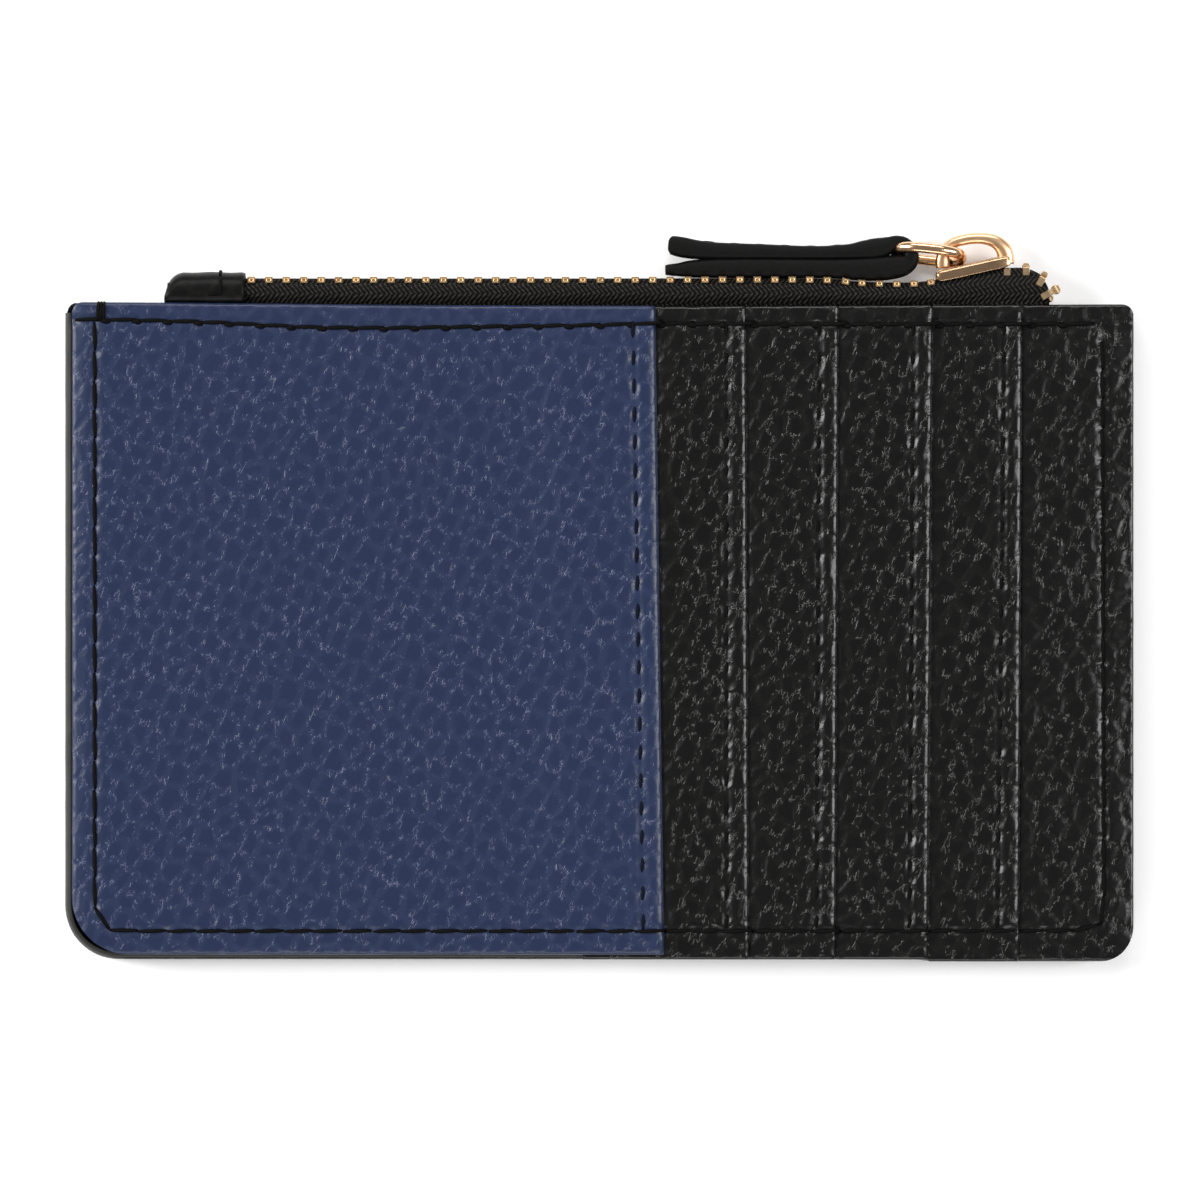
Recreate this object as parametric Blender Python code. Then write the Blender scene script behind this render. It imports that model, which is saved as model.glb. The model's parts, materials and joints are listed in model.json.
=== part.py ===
"""Slim zip card holder, lying on its back: +X to the right, +Y towards the zip, +Z out of the front.

The origin is the centre of the leather body's back face. Sizes are in millimetres and are scaled
to metres where each object is made.
"""

import math

import bmesh
import bpy
from mathutils import Vector

MM = 0.001

# Leather body
BODY_LENGTH = 130.0
BODY_HEIGHT = 80.0
BOTTOM_LEFT_RADIUS = 6.5
BOTTOM_RIGHT_RADIUS = 4.1
TOP_RADIUS = 1.4
EDGE_BAND_WIDTH = 0.8
PLY_GAP = 0.05
ARC_STEPS = 6

# Thickness of each ply, from the back to the front
BACK_PANEL = 0.9
BACK_BOARD = 0.6
LINING = 0.25
TAPE = 0.4
FRONT_BOARD = 0.4
BASE_PANEL = 0.6
SLOT_LINING = 0.1
STRIP = 0.5
BLUE_PANEL = 0.7

# Card slots, which open to the right
BLUE_EDGE = 7.4
STRIP_EDGES = (18.0, 28.9, 40.2, 51.2)
STRIP_WIDTH = 20.0
BEND_LENGTH = 0.8
BEND_CLEARANCE = 0.3
SLOT_LINING_LENGTH = 70.0
SLOT_LINING_SETBACK = 8.0
SLOT_LINING_MARGIN = 5.0

# Stitching
THREAD_WIDTH = 0.5
THREAD_THICK = 0.2
THREAD_LIFT = 0.03
SIDE_SEAM_X = 61.3
BOTTOM_SEAM_Y = -36.5
TOP_SEAM_Y = 37.2
EDGE_STITCH_INSET = 2.5

# Zip
ZIP_CENTRE_Z = 3.7
TOOTH_PITCH = 2.12
TOOTH_LENGTH = 0.93
TOOTH_THICK = 2.0
ROW_INNER = 0.5
ROW_OUTER = 2.2
CORD_THICK = 0.5
CORD_INNER = 1.3
CORD_OUTER = 2.15
FIRST_TOOTH_X = -42.3
TEETH = 47
CHAIN_Y = 42.0
TAPE_START_X = -52.5

# Slider, ring and pull tab
SLIDER_LEFT = 40.8
SLIDER_LENGTH = 9.2
SLIDER_HALF_WIDTH = 3.2
SLIDER_TILT = math.radians(12.5)
SLIDER_BASE_Y = 42.28
SLIDER_HEIGHT = 1.4
PLATE_THICK = 0.5
FLANGE_INNER = 2.45
POST_X = (47.3, 48.9)
POST_HALF_WIDTH = 0.35
LOWER_PLATE_Y = (40.1, 40.8)
LOWER_PLATE_HALF_WIDTH = 0.9
CROWN_HALF_WIDTH = 1.3
RING_RIGHT_BAR = (44.1, 45.3)
RING_LEFT_BAR = (36.0, 46.2)
RING_WIRE = 0.575
RING_HALF_WIDTH = 3.07
RING_CORNER = 1.2
TAB_HALF_WIDTH = 2.2
TAB_LEFT = 7.9
TAB_LAYER = 1.25
TAB_LOOP = 1.35
TAB_THREAD_INSET = 0.6

# Leather tab over the left end of the zip
END_TAB_LEFT = -52.9
END_TAB_RIGHT = -43.1
END_TAB_TOP = 43.6
END_TAB_FOOT = 40.1
END_TAB_HALF_WIDTH = 3.4
END_TAB_WALL = 0.5
END_TAB_STITCH_X = -46.1
SADDLE_CUT = 0.6

# Colours as linear RGB
BLACK_LEATHER = (0.018, 0.018, 0.018)
BLUE_LEATHER = (0.028, 0.046, 0.125)
BLACK_CLOTH = (0.012, 0.012, 0.013)
BLACK_THREAD = (0.010, 0.010, 0.011)
GREY_BOARD = (0.20, 0.19, 0.18)
EDGE_PAINT = (0.035, 0.034, 0.028)
GOLD = (0.80, 0.55, 0.32)


def clear_scene():
    for thing in list(bpy.data.objects):
        bpy.data.objects.remove(thing, do_unlink=True)


def add_object(name, shape, colour, roughness, metallic=0.0, parent=None):
    """Turn a mesh drawn in millimetres into a named object in metres, with a material of its own."""
    offset = parent.location / MM if parent else Vector()
    for vertex in shape.verts:
        vertex.co = (vertex.co - offset) * MM
    bmesh.ops.recalc_face_normals(shape, faces=shape.faces)
    mesh = bpy.data.meshes.new(name)
    shape.to_mesh(mesh)
    shape.free()
    paint = bpy.data.materials.new(name)
    paint.use_nodes = True
    shader = paint.node_tree.nodes["Principled BSDF"]
    shader.inputs["Base Color"].default_value = (*colour, 1.0)
    shader.inputs["Roughness"].default_value = roughness
    shader.inputs["Metallic"].default_value = metallic
    mesh.materials.append(paint)
    thing = bpy.data.objects.new(name, mesh)
    thing.parent = parent
    bpy.context.scene.collection.objects.link(thing)
    return thing


def pivot(name, x, y, parent=None):
    """An empty on a joint's axis, which the moving piece hangs from."""
    empty = bpy.data.objects.new(name, None)
    place = Vector((x, y, ZIP_CENTRE_Z)) * MM
    empty.location = place - parent.location if parent else place
    empty.parent = parent
    bpy.context.scene.collection.objects.link(empty)
    return empty


def arc(centre_x, centre_y, radius, start, end, steps=ARC_STEPS):
    """Points along an arc; the angles are in degrees."""
    angles = [math.radians(start + (end - start) * i / steps) for i in range(steps + 1)]
    return [(centre_x + radius * math.cos(a), centre_y + radius * math.sin(a)) for a in angles]


def rounded_outline(left, bottom, right, top, radii):
    """A rectangle's outline; radii go bottom left, bottom right, top right, top left."""
    low_left, low_right, top_right, top_left = radii
    corners = (
        (left, bottom, 1, 1, low_left, 180),
        (right, bottom, -1, 1, low_right, 270),
        (right, top, -1, -1, top_right, 0),
        (left, top, 1, -1, top_left, 90),
    )
    points = []
    for x, y, to_x, to_y, radius, start in corners:
        if radius:
            points += arc(x + to_x * radius, y + to_y * radius, radius, start, start + 90)
        else:
            points.append((x, y))
    return points


def loft(rings, ends=True):
    """A skin over rings of points; without ends, the last ring joins the first."""
    shape = bmesh.new()
    loops = [[shape.verts.new(point) for point in ring] for ring in rings]
    pairs = list(zip(loops, loops[1:]))
    if not ends:
        pairs.append((loops[-1], loops[0]))
    count = len(loops[0])
    for one, two in pairs:
        for i in range(count):
            j = (i + 1) % count
            shape.faces.new((one[i], one[j], two[j], two[i]))
    if ends:
        shape.faces.new(loops[0])
        shape.faces.new(loops[-1])
    return shape


def prism(outline, low, high):
    """An XY outline extruded along Z."""
    return loft([[(x, y, z) for x, y in outline] for z in (low, high)])


def block(low, high):
    outline = [(low[0], low[1]), (high[0], low[1]), (high[0], high[1]), (low[0], high[1])]
    return prism(outline, low[2], high[2])


def step_up(shape, x, rise):
    """Lift everything to the right of x, with a short slope."""
    for edge in (x, x + BEND_LENGTH):
        everything = shape.verts[:] + shape.edges[:] + shape.faces[:]
        bmesh.ops.bisect_plane(shape, geom=everything, plane_co=(edge, 0, 0), plane_no=(1, 0, 0))
    for vertex in shape.verts:
        vertex.co.z += rise * min(max((vertex.co.x - x) / BEND_LENGTH, 0.0), 1.0)
    bmesh.ops.connect_verts_concave(shape, faces=shape.faces)
    return shape


def ribbon(path, width, thick):
    """A flat thread along a path of (x, y, z), where z is its underside."""
    points = [Vector(point) for point in path]
    rings = []
    for i, point in enumerate(points):
        before = points[max(i - 1, 0)]
        after = points[min(i + 1, len(points) - 1)]
        along = Vector((after.x - before.x, after.y - before.y, 0)).normalized()
        side = Vector((-along.y, along.x, 0)) * width / 2
        top = Vector((0, 0, thick))
        rings.append([point - side, point + side, point + side + top, point - side + top])
    return loft(rings)


def stack_levels():
    """The underside of each ply, counted up from the back face."""
    levels = {"back_panel": 0.0}
    z = BACK_PANEL + PLY_GAP
    plies = (
        ("back_board", BACK_BOARD),
        ("lining_back", LINING),
    )
    for name, thick in plies:
        levels[name] = z
        z += thick + PLY_GAP
    levels["front_tape"] = ZIP_CENTRE_Z + 0.75
    levels["lining_front"] = levels["front_tape"] - PLY_GAP - LINING
    z = levels["front_tape"] + TAPE + PLY_GAP
    plies = (
        ("front_board", FRONT_BOARD),
        ("front_base_panel", BASE_PANEL),
        ("slot_lining_4", SLOT_LINING),
        ("slot_lining_3", SLOT_LINING),
        ("slot_lining_2", SLOT_LINING),
        ("slot_lining_1", SLOT_LINING),
        ("strips", STRIP),
    )
    for name, thick in plies:
        levels[name] = z
        z += thick + PLY_GAP
    return levels


LEVEL = stack_levels()
STRIP_RISE = STRIP + PLY_GAP
BLUE_BEND = STRIP_EDGES[0] - STRIP_WIDTH - BEND_LENGTH - BEND_CLEARANCE


def front_surface(x):
    """Height of the front's outer surface at x, where the stitching lies."""
    if x < BLUE_BEND:
        return LEVEL["strips"] + BLUE_PANEL
    if x < BLUE_EDGE:
        return LEVEL["strips"] + BLUE_PANEL + STRIP_RISE
    if x < STRIP_EDGES[2]:
        return LEVEL["strips"] + STRIP + STRIP_RISE
    if x < STRIP_EDGES[3]:
        return LEVEL["strips"] + STRIP
    return LEVEL["front_base_panel"] + BASE_PANEL


def make_inner_plies():
    """Boards, linings and the black base panel, one behind the other."""
    inset = EDGE_BAND_WIDTH + 0.2
    half_x = BODY_LENGTH / 2
    half_y = BODY_HEIGHT / 2
    radii = (BOTTOM_LEFT_RADIUS - inset, BOTTOM_RIGHT_RADIUS - inset, 0, 0)
    plies = (
        ("back_board", BACK_BOARD, 2.0, GREY_BOARD, 0.9),
        ("lining_back", LINING, 0.0, BLACK_CLOTH, 0.95),
        ("lining_front", LINING, 0.0, BLACK_CLOTH, 0.95),
        ("front_board", FRONT_BOARD, 2.0, GREY_BOARD, 0.9),
        ("front_base_panel", BASE_PANEL, 0.0, BLACK_LEATHER, 0.5),
    )
    for name, thick, more, colour, roughness in plies:
        left = -half_x + inset + more
        bottom = -half_y + inset + more
        outline = rounded_outline(left, bottom, half_x - inset - more, half_y - 0.4 - more, radii)
        shape = prism(outline, LEVEL[name], LEVEL[name] + thick)
        add_object(name, shape, colour, roughness)


def make_back_panel():
    half_x = BODY_LENGTH / 2
    half_y = BODY_HEIGHT / 2
    radii = (BOTTOM_LEFT_RADIUS, BOTTOM_RIGHT_RADIUS, TOP_RADIUS, TOP_RADIUS)
    outline = rounded_outline(-half_x, -half_y, half_x, half_y, radii)
    add_object("back_panel", prism(outline, 0, BACK_PANEL), BLACK_LEATHER, 0.5)


def make_edge_band():
    """The painted edge, down the left side, along the bottom and up the right side."""
    low = BACK_PANEL + PLY_GAP
    high = LEVEL["strips"]
    half_x = BODY_LENGTH / 2
    half_y = BODY_HEIGHT / 2
    sides = []
    for inset in (0.0, EDGE_BAND_WIDTH):
        left = BOTTOM_LEFT_RADIUS - inset
        right = BOTTOM_RIGHT_RADIUS - inset
        path = [(-half_x + inset, half_y - TOP_RADIUS)]
        path += arc(-half_x + inset + left, -half_y + inset + left, left, 180, 270)
        path += arc(half_x - inset - right, -half_y + inset + right, right, 270, 360)
        path += [(half_x - inset, half_y - TOP_RADIUS)]
        sides.append(path)
    outer, inner = sides
    rings = []
    for (out_x, out_y), (in_x, in_y) in zip(outer, inner):
        rings.append([(out_x, out_y, low), (in_x, in_y, low), (in_x, in_y, high), (out_x, out_y, high)])
    add_object("edge_band", loft(rings), EDGE_PAINT, 0.45)


def make_slot_linings():
    """Thin card-slot linings; the one for the last slot lies lowest."""
    edges = (BLUE_EDGE,) + STRIP_EDGES[:3]
    low_y = BOTTOM_SEAM_Y + SLOT_LINING_MARGIN
    high_y = TOP_SEAM_Y - SLOT_LINING_MARGIN
    for number, edge in enumerate(edges, start=1):
        name = f"slot_lining_{number}"
        right = edge + STRIP_WIDTH / 2 - SLOT_LINING_SETBACK
        left = max(right - SLOT_LINING_LENGTH, -SIDE_SEAM_X + 1)
        z = LEVEL[name]
        add_object(name, block((left, low_y, z), (right, high_y, z + SLOT_LINING)), BLACK_CLOTH, 0.95)


def make_slot_strips():
    """Four leather strips; each one's right half lies on the next one's left half."""
    low = LEVEL["strips"]
    bottom = -BODY_HEIGHT / 2 + EDGE_BAND_WIDTH + 0.1
    top = BODY_HEIGHT / 2 - 0.4
    for number, edge in enumerate(STRIP_EDGES, start=1):
        left = edge - STRIP_WIDTH
        shape = block((left, bottom, low), (edge, top, low + STRIP))
        if number < len(STRIP_EDGES):
            next_left = STRIP_EDGES[number] - STRIP_WIDTH
            step_up(shape, next_left - BEND_LENGTH - BEND_CLEARANCE, STRIP_RISE)
        add_object(f"slot_strip_{number}", shape, BLACK_LEATHER, 0.5)


def make_blue_panel():
    low = LEVEL["strips"]
    inset = EDGE_BAND_WIDTH + 0.1
    left = -BODY_LENGTH / 2 + inset
    bottom = -BODY_HEIGHT / 2 + inset
    radii = (BOTTOM_LEFT_RADIUS - 0.5, 0, 0, TOP_RADIUS)
    outline = rounded_outline(left, bottom, BLUE_EDGE, BODY_HEIGHT / 2, radii)
    shape = prism(outline, low, low + BLUE_PANEL)
    step_up(shape, BLUE_BEND, STRIP_RISE)
    add_object("blue_panel", shape, BLUE_LEATHER, 0.45)


def stepped_run(start, end, y):
    """Points of a thread that runs along X and steps down past each turned edge."""
    slope = 0.4
    step_places = [BLUE_EDGE, STRIP_EDGES[2], STRIP_EDGES[3]]
    points = [(start, front_surface(start))]
    points += [(BLUE_BEND - slope, front_surface(start)), (BLUE_BEND, front_surface(BLUE_EDGE - 1))]
    for place in step_places:
        points += [(place + 0.1, front_surface(place - 0.1)), (place + 0.1 + slope, front_surface(place + 0.1))]
    points.append((end, front_surface(end)))
    return [(x, y, z + THREAD_LIFT) for x, z in points]


def make_threads():
    """One stitched line for each seam and for each turned edge."""
    left_z = front_surface(-SIDE_SEAM_X) + THREAD_LIFT
    right_z = front_surface(SIDE_SEAM_X) + THREAD_LIFT
    outline = [(-SIDE_SEAM_X, TOP_SEAM_Y - 1, left_z), (-SIDE_SEAM_X, BOTTOM_SEAM_Y + 1.5, left_z)]
    outline += stepped_run(-SIDE_SEAM_X + 1.5, SIDE_SEAM_X - 1.5, BOTTOM_SEAM_Y)
    outline += [(SIDE_SEAM_X, BOTTOM_SEAM_Y + 1.5, right_z), (SIDE_SEAM_X, TOP_SEAM_Y - 1, right_z)]
    add_thread("outline_thread", outline)
    add_thread("top_seam_thread", stepped_run(-SIDE_SEAM_X - 2, SIDE_SEAM_X, TOP_SEAM_Y))
    edges = [("blue_edge_thread", BLUE_EDGE)]
    edges += [(f"strip_thread_{n}", edge) for n, edge in enumerate(STRIP_EDGES, start=1)]
    for name, edge in edges:
        x = edge - EDGE_STITCH_INSET
        z = front_surface(edge - 0.1) + THREAD_LIFT
        add_thread(name, [(x, BOTTOM_SEAM_Y + 1, z), (x, TOP_SEAM_Y - 1, z)])


def add_thread(name, path):
    add_object(name, ribbon(path, THREAD_WIDTH, THREAD_THICK), BLACK_THREAD, 0.8)


def chain_path():
    """The teeth's centre line: straight, up through the slider, then over and down at the right end."""
    return [
        (FIRST_TOOTH_X - TOOTH_PITCH, CHAIN_Y),
        (SLIDER_LEFT - 0.6, CHAIN_Y),
        (SLIDER_LEFT + 4.6, CHAIN_Y + 0.8),
        (SLIDER_LEFT + 9.0, CHAIN_Y + 1.55),
        (51.6, CHAIN_Y + 1.75),
        (53.4, CHAIN_Y + 0.9),
        (54.3, CHAIN_Y - 1.2),
        (54.3, CHAIN_Y - 3.5),
    ]


def point_along(path, distance):
    """The place and the direction at a distance along a path of straight runs."""
    for start, end in zip(path, path[1:]):
        one, two = Vector(start), Vector(end)
        run = (two - one).length
        if distance <= run:
            return one.lerp(two, distance / run), (two - one).normalized()
        distance -= run
    raise ValueError("the path is too short for its teeth")


def make_teeth_row(name, side):
    """One row of teeth, with the cord that they grip; side is +1 for the front row."""
    path = chain_path()
    rings = []
    tooth = (ROW_INNER, ROW_OUTER, TOOTH_THICK / 2)
    cord = (CORD_INNER, CORD_OUTER, CORD_THICK / 2)
    for number in range(TEETH):
        before = point_along(path, (number + 0.6) * TOOTH_PITCH)[0]
        after = point_along(path, (number + 1.4) * TOOTH_PITCH)[0]
        centre = point_along(path, (number + 1.0) * TOOTH_PITCH)[0]
        along = (after - before).normalized()
        up = Vector((-along.y, along.x))
        ends = [(-1, cord), (-1, tooth), (1, tooth), (1, cord)]
        if number == 0:
            ends = ends[1:]
        if number == TEETH - 1:
            ends = ends[:-1]
        for way, (near, far, half) in ends:
            middle = centre + along * way * TOOTH_LENGTH / 2
            low, high = middle - up * half, middle + up * half
            near_z, far_z = ZIP_CENTRE_Z + side * near, ZIP_CENTRE_Z + side * far
            ring = [(low.x, low.y, near_z), (high.x, high.y, near_z)]
            ring += [(high.x, high.y, far_z), (low.x, low.y, far_z)]
            rings.append(ring)
    add_object(name, loft(rings), GOLD, 0.25, metallic=1.0)


def tape_rise(x):
    """How far the tape's upper edge stands above its straight height."""
    keys = ((TAPE_START_X, 0.0), (SLIDER_LEFT, 0.0), (49.8, 1.6), (52.2, 1.6), (53.2, 0.9))
    for (x0, rise0), (x1, rise1) in zip(keys, keys[1:]):
        if x <= x1:
            return rise0 + (rise1 - rise0) * (x - x0) / (x1 - x0)
    return keys[-1][1]


def make_tape(name, side):
    """Zip tape: a skirt inside the body, bulging out to the row of teeth above it."""
    profile = [(34.0, 0.95), (39.3, 0.95), (40.3, 2.1), (41.0, 2.65), (42.2, 2.65)]
    stations = (TAPE_START_X, FIRST_TOOTH_X, SLIDER_LEFT, 43.0, 45.3, 47.6, 49.8, 52.2, 53.2)
    half = TAPE / 2
    offsets = [Vector((0, half)), Vector((0, half)), Vector((-half, half * 0.8)), Vector((-half * 0.6, half)), Vector((0, half))]
    foot, top = profile[1][0], profile[-1][0]
    rings = []
    for x in stations:
        rise = tape_rise(x)
        middle = [Vector((y + rise * max((y - foot) / (top - foot), 0.0), z)) for y, z in profile]
        outside = [m + o for m, o in zip(middle, offsets)]
        inside = [m - o for m, o in zip(middle, offsets)]
        ring = outside + inside[::-1]
        rings.append([(x, p.x, ZIP_CENTRE_Z + side * p.y) for p in ring])
    add_object(name, loft(rings), BLACK_CLOTH, 0.9)


def make_zip():
    make_tape("zip_tape_front", 1)
    make_tape("zip_tape_back", -1)
    make_teeth_row("zip_teeth_front", 1)
    make_teeth_row("zip_teeth_back", -1)
    stop_left = END_TAB_RIGHT - 2.2
    low = (stop_left, CHAIN_Y - 0.9, ZIP_CENTRE_Z - 1.9)
    high = (stop_left + 1.6, CHAIN_Y + 0.9, ZIP_CENTRE_Z + 1.9)
    add_object("zip_bottom_stop", block(low, high), GOLD, 0.3, metallic=1.0)


def saddle(x0, x1, top, foot, half_width, wall):
    """An upside-down U over the zip, between two places along X, with cut corners."""
    profile = []
    outer = (1, half_width, top, SADDLE_CUT)
    inner = (-1, half_width - wall, top - wall, SADDLE_CUT - 0.2)
    for way, half, high, cut in (outer, inner):
        side = [(foot, -half), (high - cut, -half), (high, cut - half)]
        side += [(high, half - cut), (high - cut, half), (foot, half)]
        profile += side[::way]
    return loft([[(x, y, ZIP_CENTRE_Z + z) for y, z in profile] for x in (x0, x1)])


def make_end_tab():
    shape = saddle(END_TAB_LEFT, END_TAB_RIGHT, END_TAB_TOP, END_TAB_FOOT, END_TAB_HALF_WIDTH, END_TAB_WALL)
    add_object("zip_end_tab", shape, BLACK_LEATHER, 0.5)
    wall = THREAD_THICK
    grow = wall + THREAD_LIFT
    left = END_TAB_STITCH_X - THREAD_WIDTH / 2
    right = END_TAB_STITCH_X + THREAD_WIDTH / 2
    shape = saddle(left, right, END_TAB_TOP + grow, END_TAB_FOOT, END_TAB_HALF_WIDTH + grow, wall)
    add_object("zip_end_tab_thread", shape, BLACK_THREAD, 0.8)


def slider_frame(along, above):
    """A place on the tilted slider: along it from its left end, and above its upper plate."""
    top = Vector((SLIDER_LEFT, SLIDER_BASE_Y + SLIDER_HEIGHT))
    cos, sin = math.cos(SLIDER_TILT), math.sin(SLIDER_TILT)
    return top + Vector((along * cos - above * sin, along * sin + above * cos))


def make_slider(parent):
    """Upper plate with its two flanges, the post between the rows, and the lower plate inside."""
    width, flange = SLIDER_HALF_WIDTH, FLANGE_INNER
    under = -PLATE_THICK
    foot = -SLIDER_HEIGHT
    profile = [(foot, -width), (-0.3, -width), (0.0, -width + 0.3), (0.0, width - 0.3), (-0.3, width)]
    profile += [(foot, width), (foot, flange), (under, flange), (under, -flange), (foot, -flange)]
    rings = []
    for along, narrow in ((0.0, 0.92), (0.5, 1.0), (SLIDER_LENGTH - 0.5, 1.0), (SLIDER_LENGTH, 0.92)):
        ring = []
        for above, z in profile:
            place = slider_frame(along, above)
            wide = z * narrow if abs(z) > flange else z
            ring.append((place.x, place.y, ZIP_CENTRE_Z + wide))
        rings.append(ring)
    body = add_object("slider_body", loft(rings), GOLD, 0.2, metallic=1.0, parent=parent)
    post_top = slider_frame(POST_X[0] - SLIDER_LEFT, -PLATE_THICK / 2).y
    low_y, high_y = LOWER_PLATE_Y
    post = block(
        (POST_X[0], low_y + 0.2, ZIP_CENTRE_Z - POST_HALF_WIDTH),
        (POST_X[1], post_top, ZIP_CENTRE_Z + POST_HALF_WIDTH),
    )
    plate = block(
        (SLIDER_LEFT + 1.0, low_y, ZIP_CENTRE_Z - LOWER_PLATE_HALF_WIDTH),
        (SLIDER_LEFT + SLIDER_LENGTH - 0.6, high_y, ZIP_CENTRE_Z + LOWER_PLATE_HALF_WIDTH),
    )
    for name, shape in (("post_guide", post), ("lower_plate_guide", plate)):
        guide = add_object(name, shape, GOLD, 0.2, metallic=1.0, parent=parent)
        guide.hide_render = True
        guide.display_type = "WIRE"
        join = body.modifiers.new(name, "BOOLEAN")
        join.operation = "UNION"
        join.object = guide


def make_crown(parent):
    """The arched bridge on the slider that the ring hangs in."""
    foot = PLY_GAP
    outer = [(0.6, foot), (0.9, 1.6), (1.6, 2.8), (3.3, 3.4), (6.4, 3.45), (8.4, 2.7), (9.6, 1.2), (9.8, foot)]
    inner = [(8.0, foot), (7.8, 0.9), (7.0, 1.7), (5.4, 2.05), (3.6, 2.0), (2.7, 1.4), (2.3, foot)]
    outline = [tuple(slider_frame(along, above)) for along, above in outer + inner]
    low, high = ZIP_CENTRE_Z - CROWN_HALF_WIDTH, ZIP_CENTRE_Z + CROWN_HALF_WIDTH
    add_object("slider_crown", prism(outline, low, high), GOLD, 0.2, metallic=1.0, parent=parent)


def make_ring(parent):
    """A wire ring with straight end bars and rounded corners."""
    right, left = Vector(RING_RIGHT_BAR), Vector(RING_LEFT_BAR)
    length = (right - left).length
    along = (left - right).normalized()
    up = Vector((along.y, -along.x))
    flat = rounded_outline(0.0, -RING_HALF_WIDTH, length, RING_HALF_WIDTH, (RING_CORNER,) * 4)
    count = len(flat)
    rings = []
    for i, (u, w) in enumerate(flat):
        before, after = Vector(flat[i - 1]), Vector(flat[(i + 1) % count])
        tangent = (after - before).normalized()
        out = Vector((tangent.y, -tangent.x))
        ring = []
        for k in range(8):
            angle = math.tau * k / 8
            outward, upward = RING_WIRE * math.cos(angle), RING_WIRE * math.sin(angle)
            place = right + along * (u + out.x * outward) + up * upward
            ring.append((place.x, place.y, ZIP_CENTRE_Z + w + out.y * outward))
        rings.append(ring)
    add_object("pull_ring", loft(rings, ends=False), GOLD, 0.2, metallic=1.0, parent=parent)


def make_pull_tab(parent):
    """A leather strap folded round the ring's far bar; its two layers part at the free end."""
    bar_x, bar_y = RING_LEFT_BAR
    inside = TAB_LOOP - TAB_LAYER / 2
    outside = TAB_LOOP + TAB_LAYER / 2
    mouth = TAB_LEFT + 3.3
    split = 45.35
    low = split - TAB_LAYER
    outline = [(TAB_LEFT + 0.4, low), (bar_x - 3.2, low), (bar_x - 1.2, bar_y - outside + 0.2)]
    outline += arc(bar_x, bar_y, outside, -90, 120, steps=9)
    outline += [(bar_x - 3.0, 46.9), (mouth, 46.8), (TAB_LEFT + 1.2, 47.9), (TAB_LEFT, 47.5), (TAB_LEFT, 46.8)]
    outline += [(mouth, split + 0.08), (bar_x - 2.4, split + 0.08)]
    outline += arc(bar_x, bar_y, inside, 150, -150, steps=9)
    outline += [(bar_x - 2.4, split), (mouth, split - 0.08), (TAB_LEFT, split - 0.2)]
    low_z, high_z = ZIP_CENTRE_Z - TAB_HALF_WIDTH, ZIP_CENTRE_Z + TAB_HALF_WIDTH
    add_object("pull_tab", prism(outline, low_z, high_z), BLACK_LEATHER, 0.5, parent=parent)
    top = 46.93
    near = ZIP_CENTRE_Z + TAB_HALF_WIDTH - TAB_THREAD_INSET
    far = ZIP_CENTRE_Z - TAB_HALF_WIDTH + TAB_THREAD_INSET
    width = THREAD_WIDTH / 2
    flat = [(bar_x - 4, near), (mouth + 1, near), (mouth + 1, far), (bar_x - 4, far)]
    flat += [(bar_x - 4, far + width), (mouth + 1 + width, far + width)]
    flat += [(mouth + 1 + width, near - width), (bar_x - 4, near - width)]
    shape = loft([[(x, y, z) for x, z in flat] for y in (top, top + THREAD_THICK)])
    add_object("pull_tab_thread", shape, BLACK_THREAD, 0.8, parent=parent)


def main():
    clear_scene()
    make_back_panel()
    make_inner_plies()
    make_edge_band()
    make_slot_linings()
    make_slot_strips()
    make_blue_panel()
    make_threads()
    make_zip()
    make_end_tab()
    slider = pivot("slider_pivot", SLIDER_LEFT, CHAIN_Y)
    make_slider(slider)
    make_crown(slider)
    ring = pivot("ring_pivot", *RING_RIGHT_BAR)
    make_ring(ring)
    tab = pivot("tab_pivot", *RING_LEFT_BAR)
    make_pull_tab(tab)


main()
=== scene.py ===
"""Looks of a slim zip card holder: pebbled leather, stitching, twill zip tape and gold hardware."""

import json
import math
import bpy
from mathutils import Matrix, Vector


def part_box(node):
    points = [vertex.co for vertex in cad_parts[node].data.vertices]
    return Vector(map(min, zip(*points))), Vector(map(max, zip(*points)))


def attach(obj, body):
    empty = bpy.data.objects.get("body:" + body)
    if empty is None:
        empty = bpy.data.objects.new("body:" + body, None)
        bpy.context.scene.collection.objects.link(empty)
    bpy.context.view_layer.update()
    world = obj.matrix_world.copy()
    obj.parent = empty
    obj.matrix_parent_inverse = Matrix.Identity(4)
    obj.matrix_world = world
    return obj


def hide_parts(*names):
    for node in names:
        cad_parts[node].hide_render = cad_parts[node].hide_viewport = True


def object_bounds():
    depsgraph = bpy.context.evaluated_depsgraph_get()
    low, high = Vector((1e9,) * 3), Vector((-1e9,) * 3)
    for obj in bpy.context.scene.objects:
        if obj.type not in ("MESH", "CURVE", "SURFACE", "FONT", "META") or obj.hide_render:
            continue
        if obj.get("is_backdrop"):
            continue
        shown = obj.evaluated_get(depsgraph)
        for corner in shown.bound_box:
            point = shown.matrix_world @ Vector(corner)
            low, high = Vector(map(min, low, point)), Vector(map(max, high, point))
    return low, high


bl_info = {
    "name": "Zip Card Holder Looks",
    "version": (1, 0, 0),
    "blender": (4, 5, 0),
    "location": "View3D > Sidebar > Card Holder",
    "description": "Builds the leather, stitching, zip and gold hardware of a slim zip card holder",
    "category": "Object",
}

import bmesh
import bpy
import numpy as np
from mathutils import Vector

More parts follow.
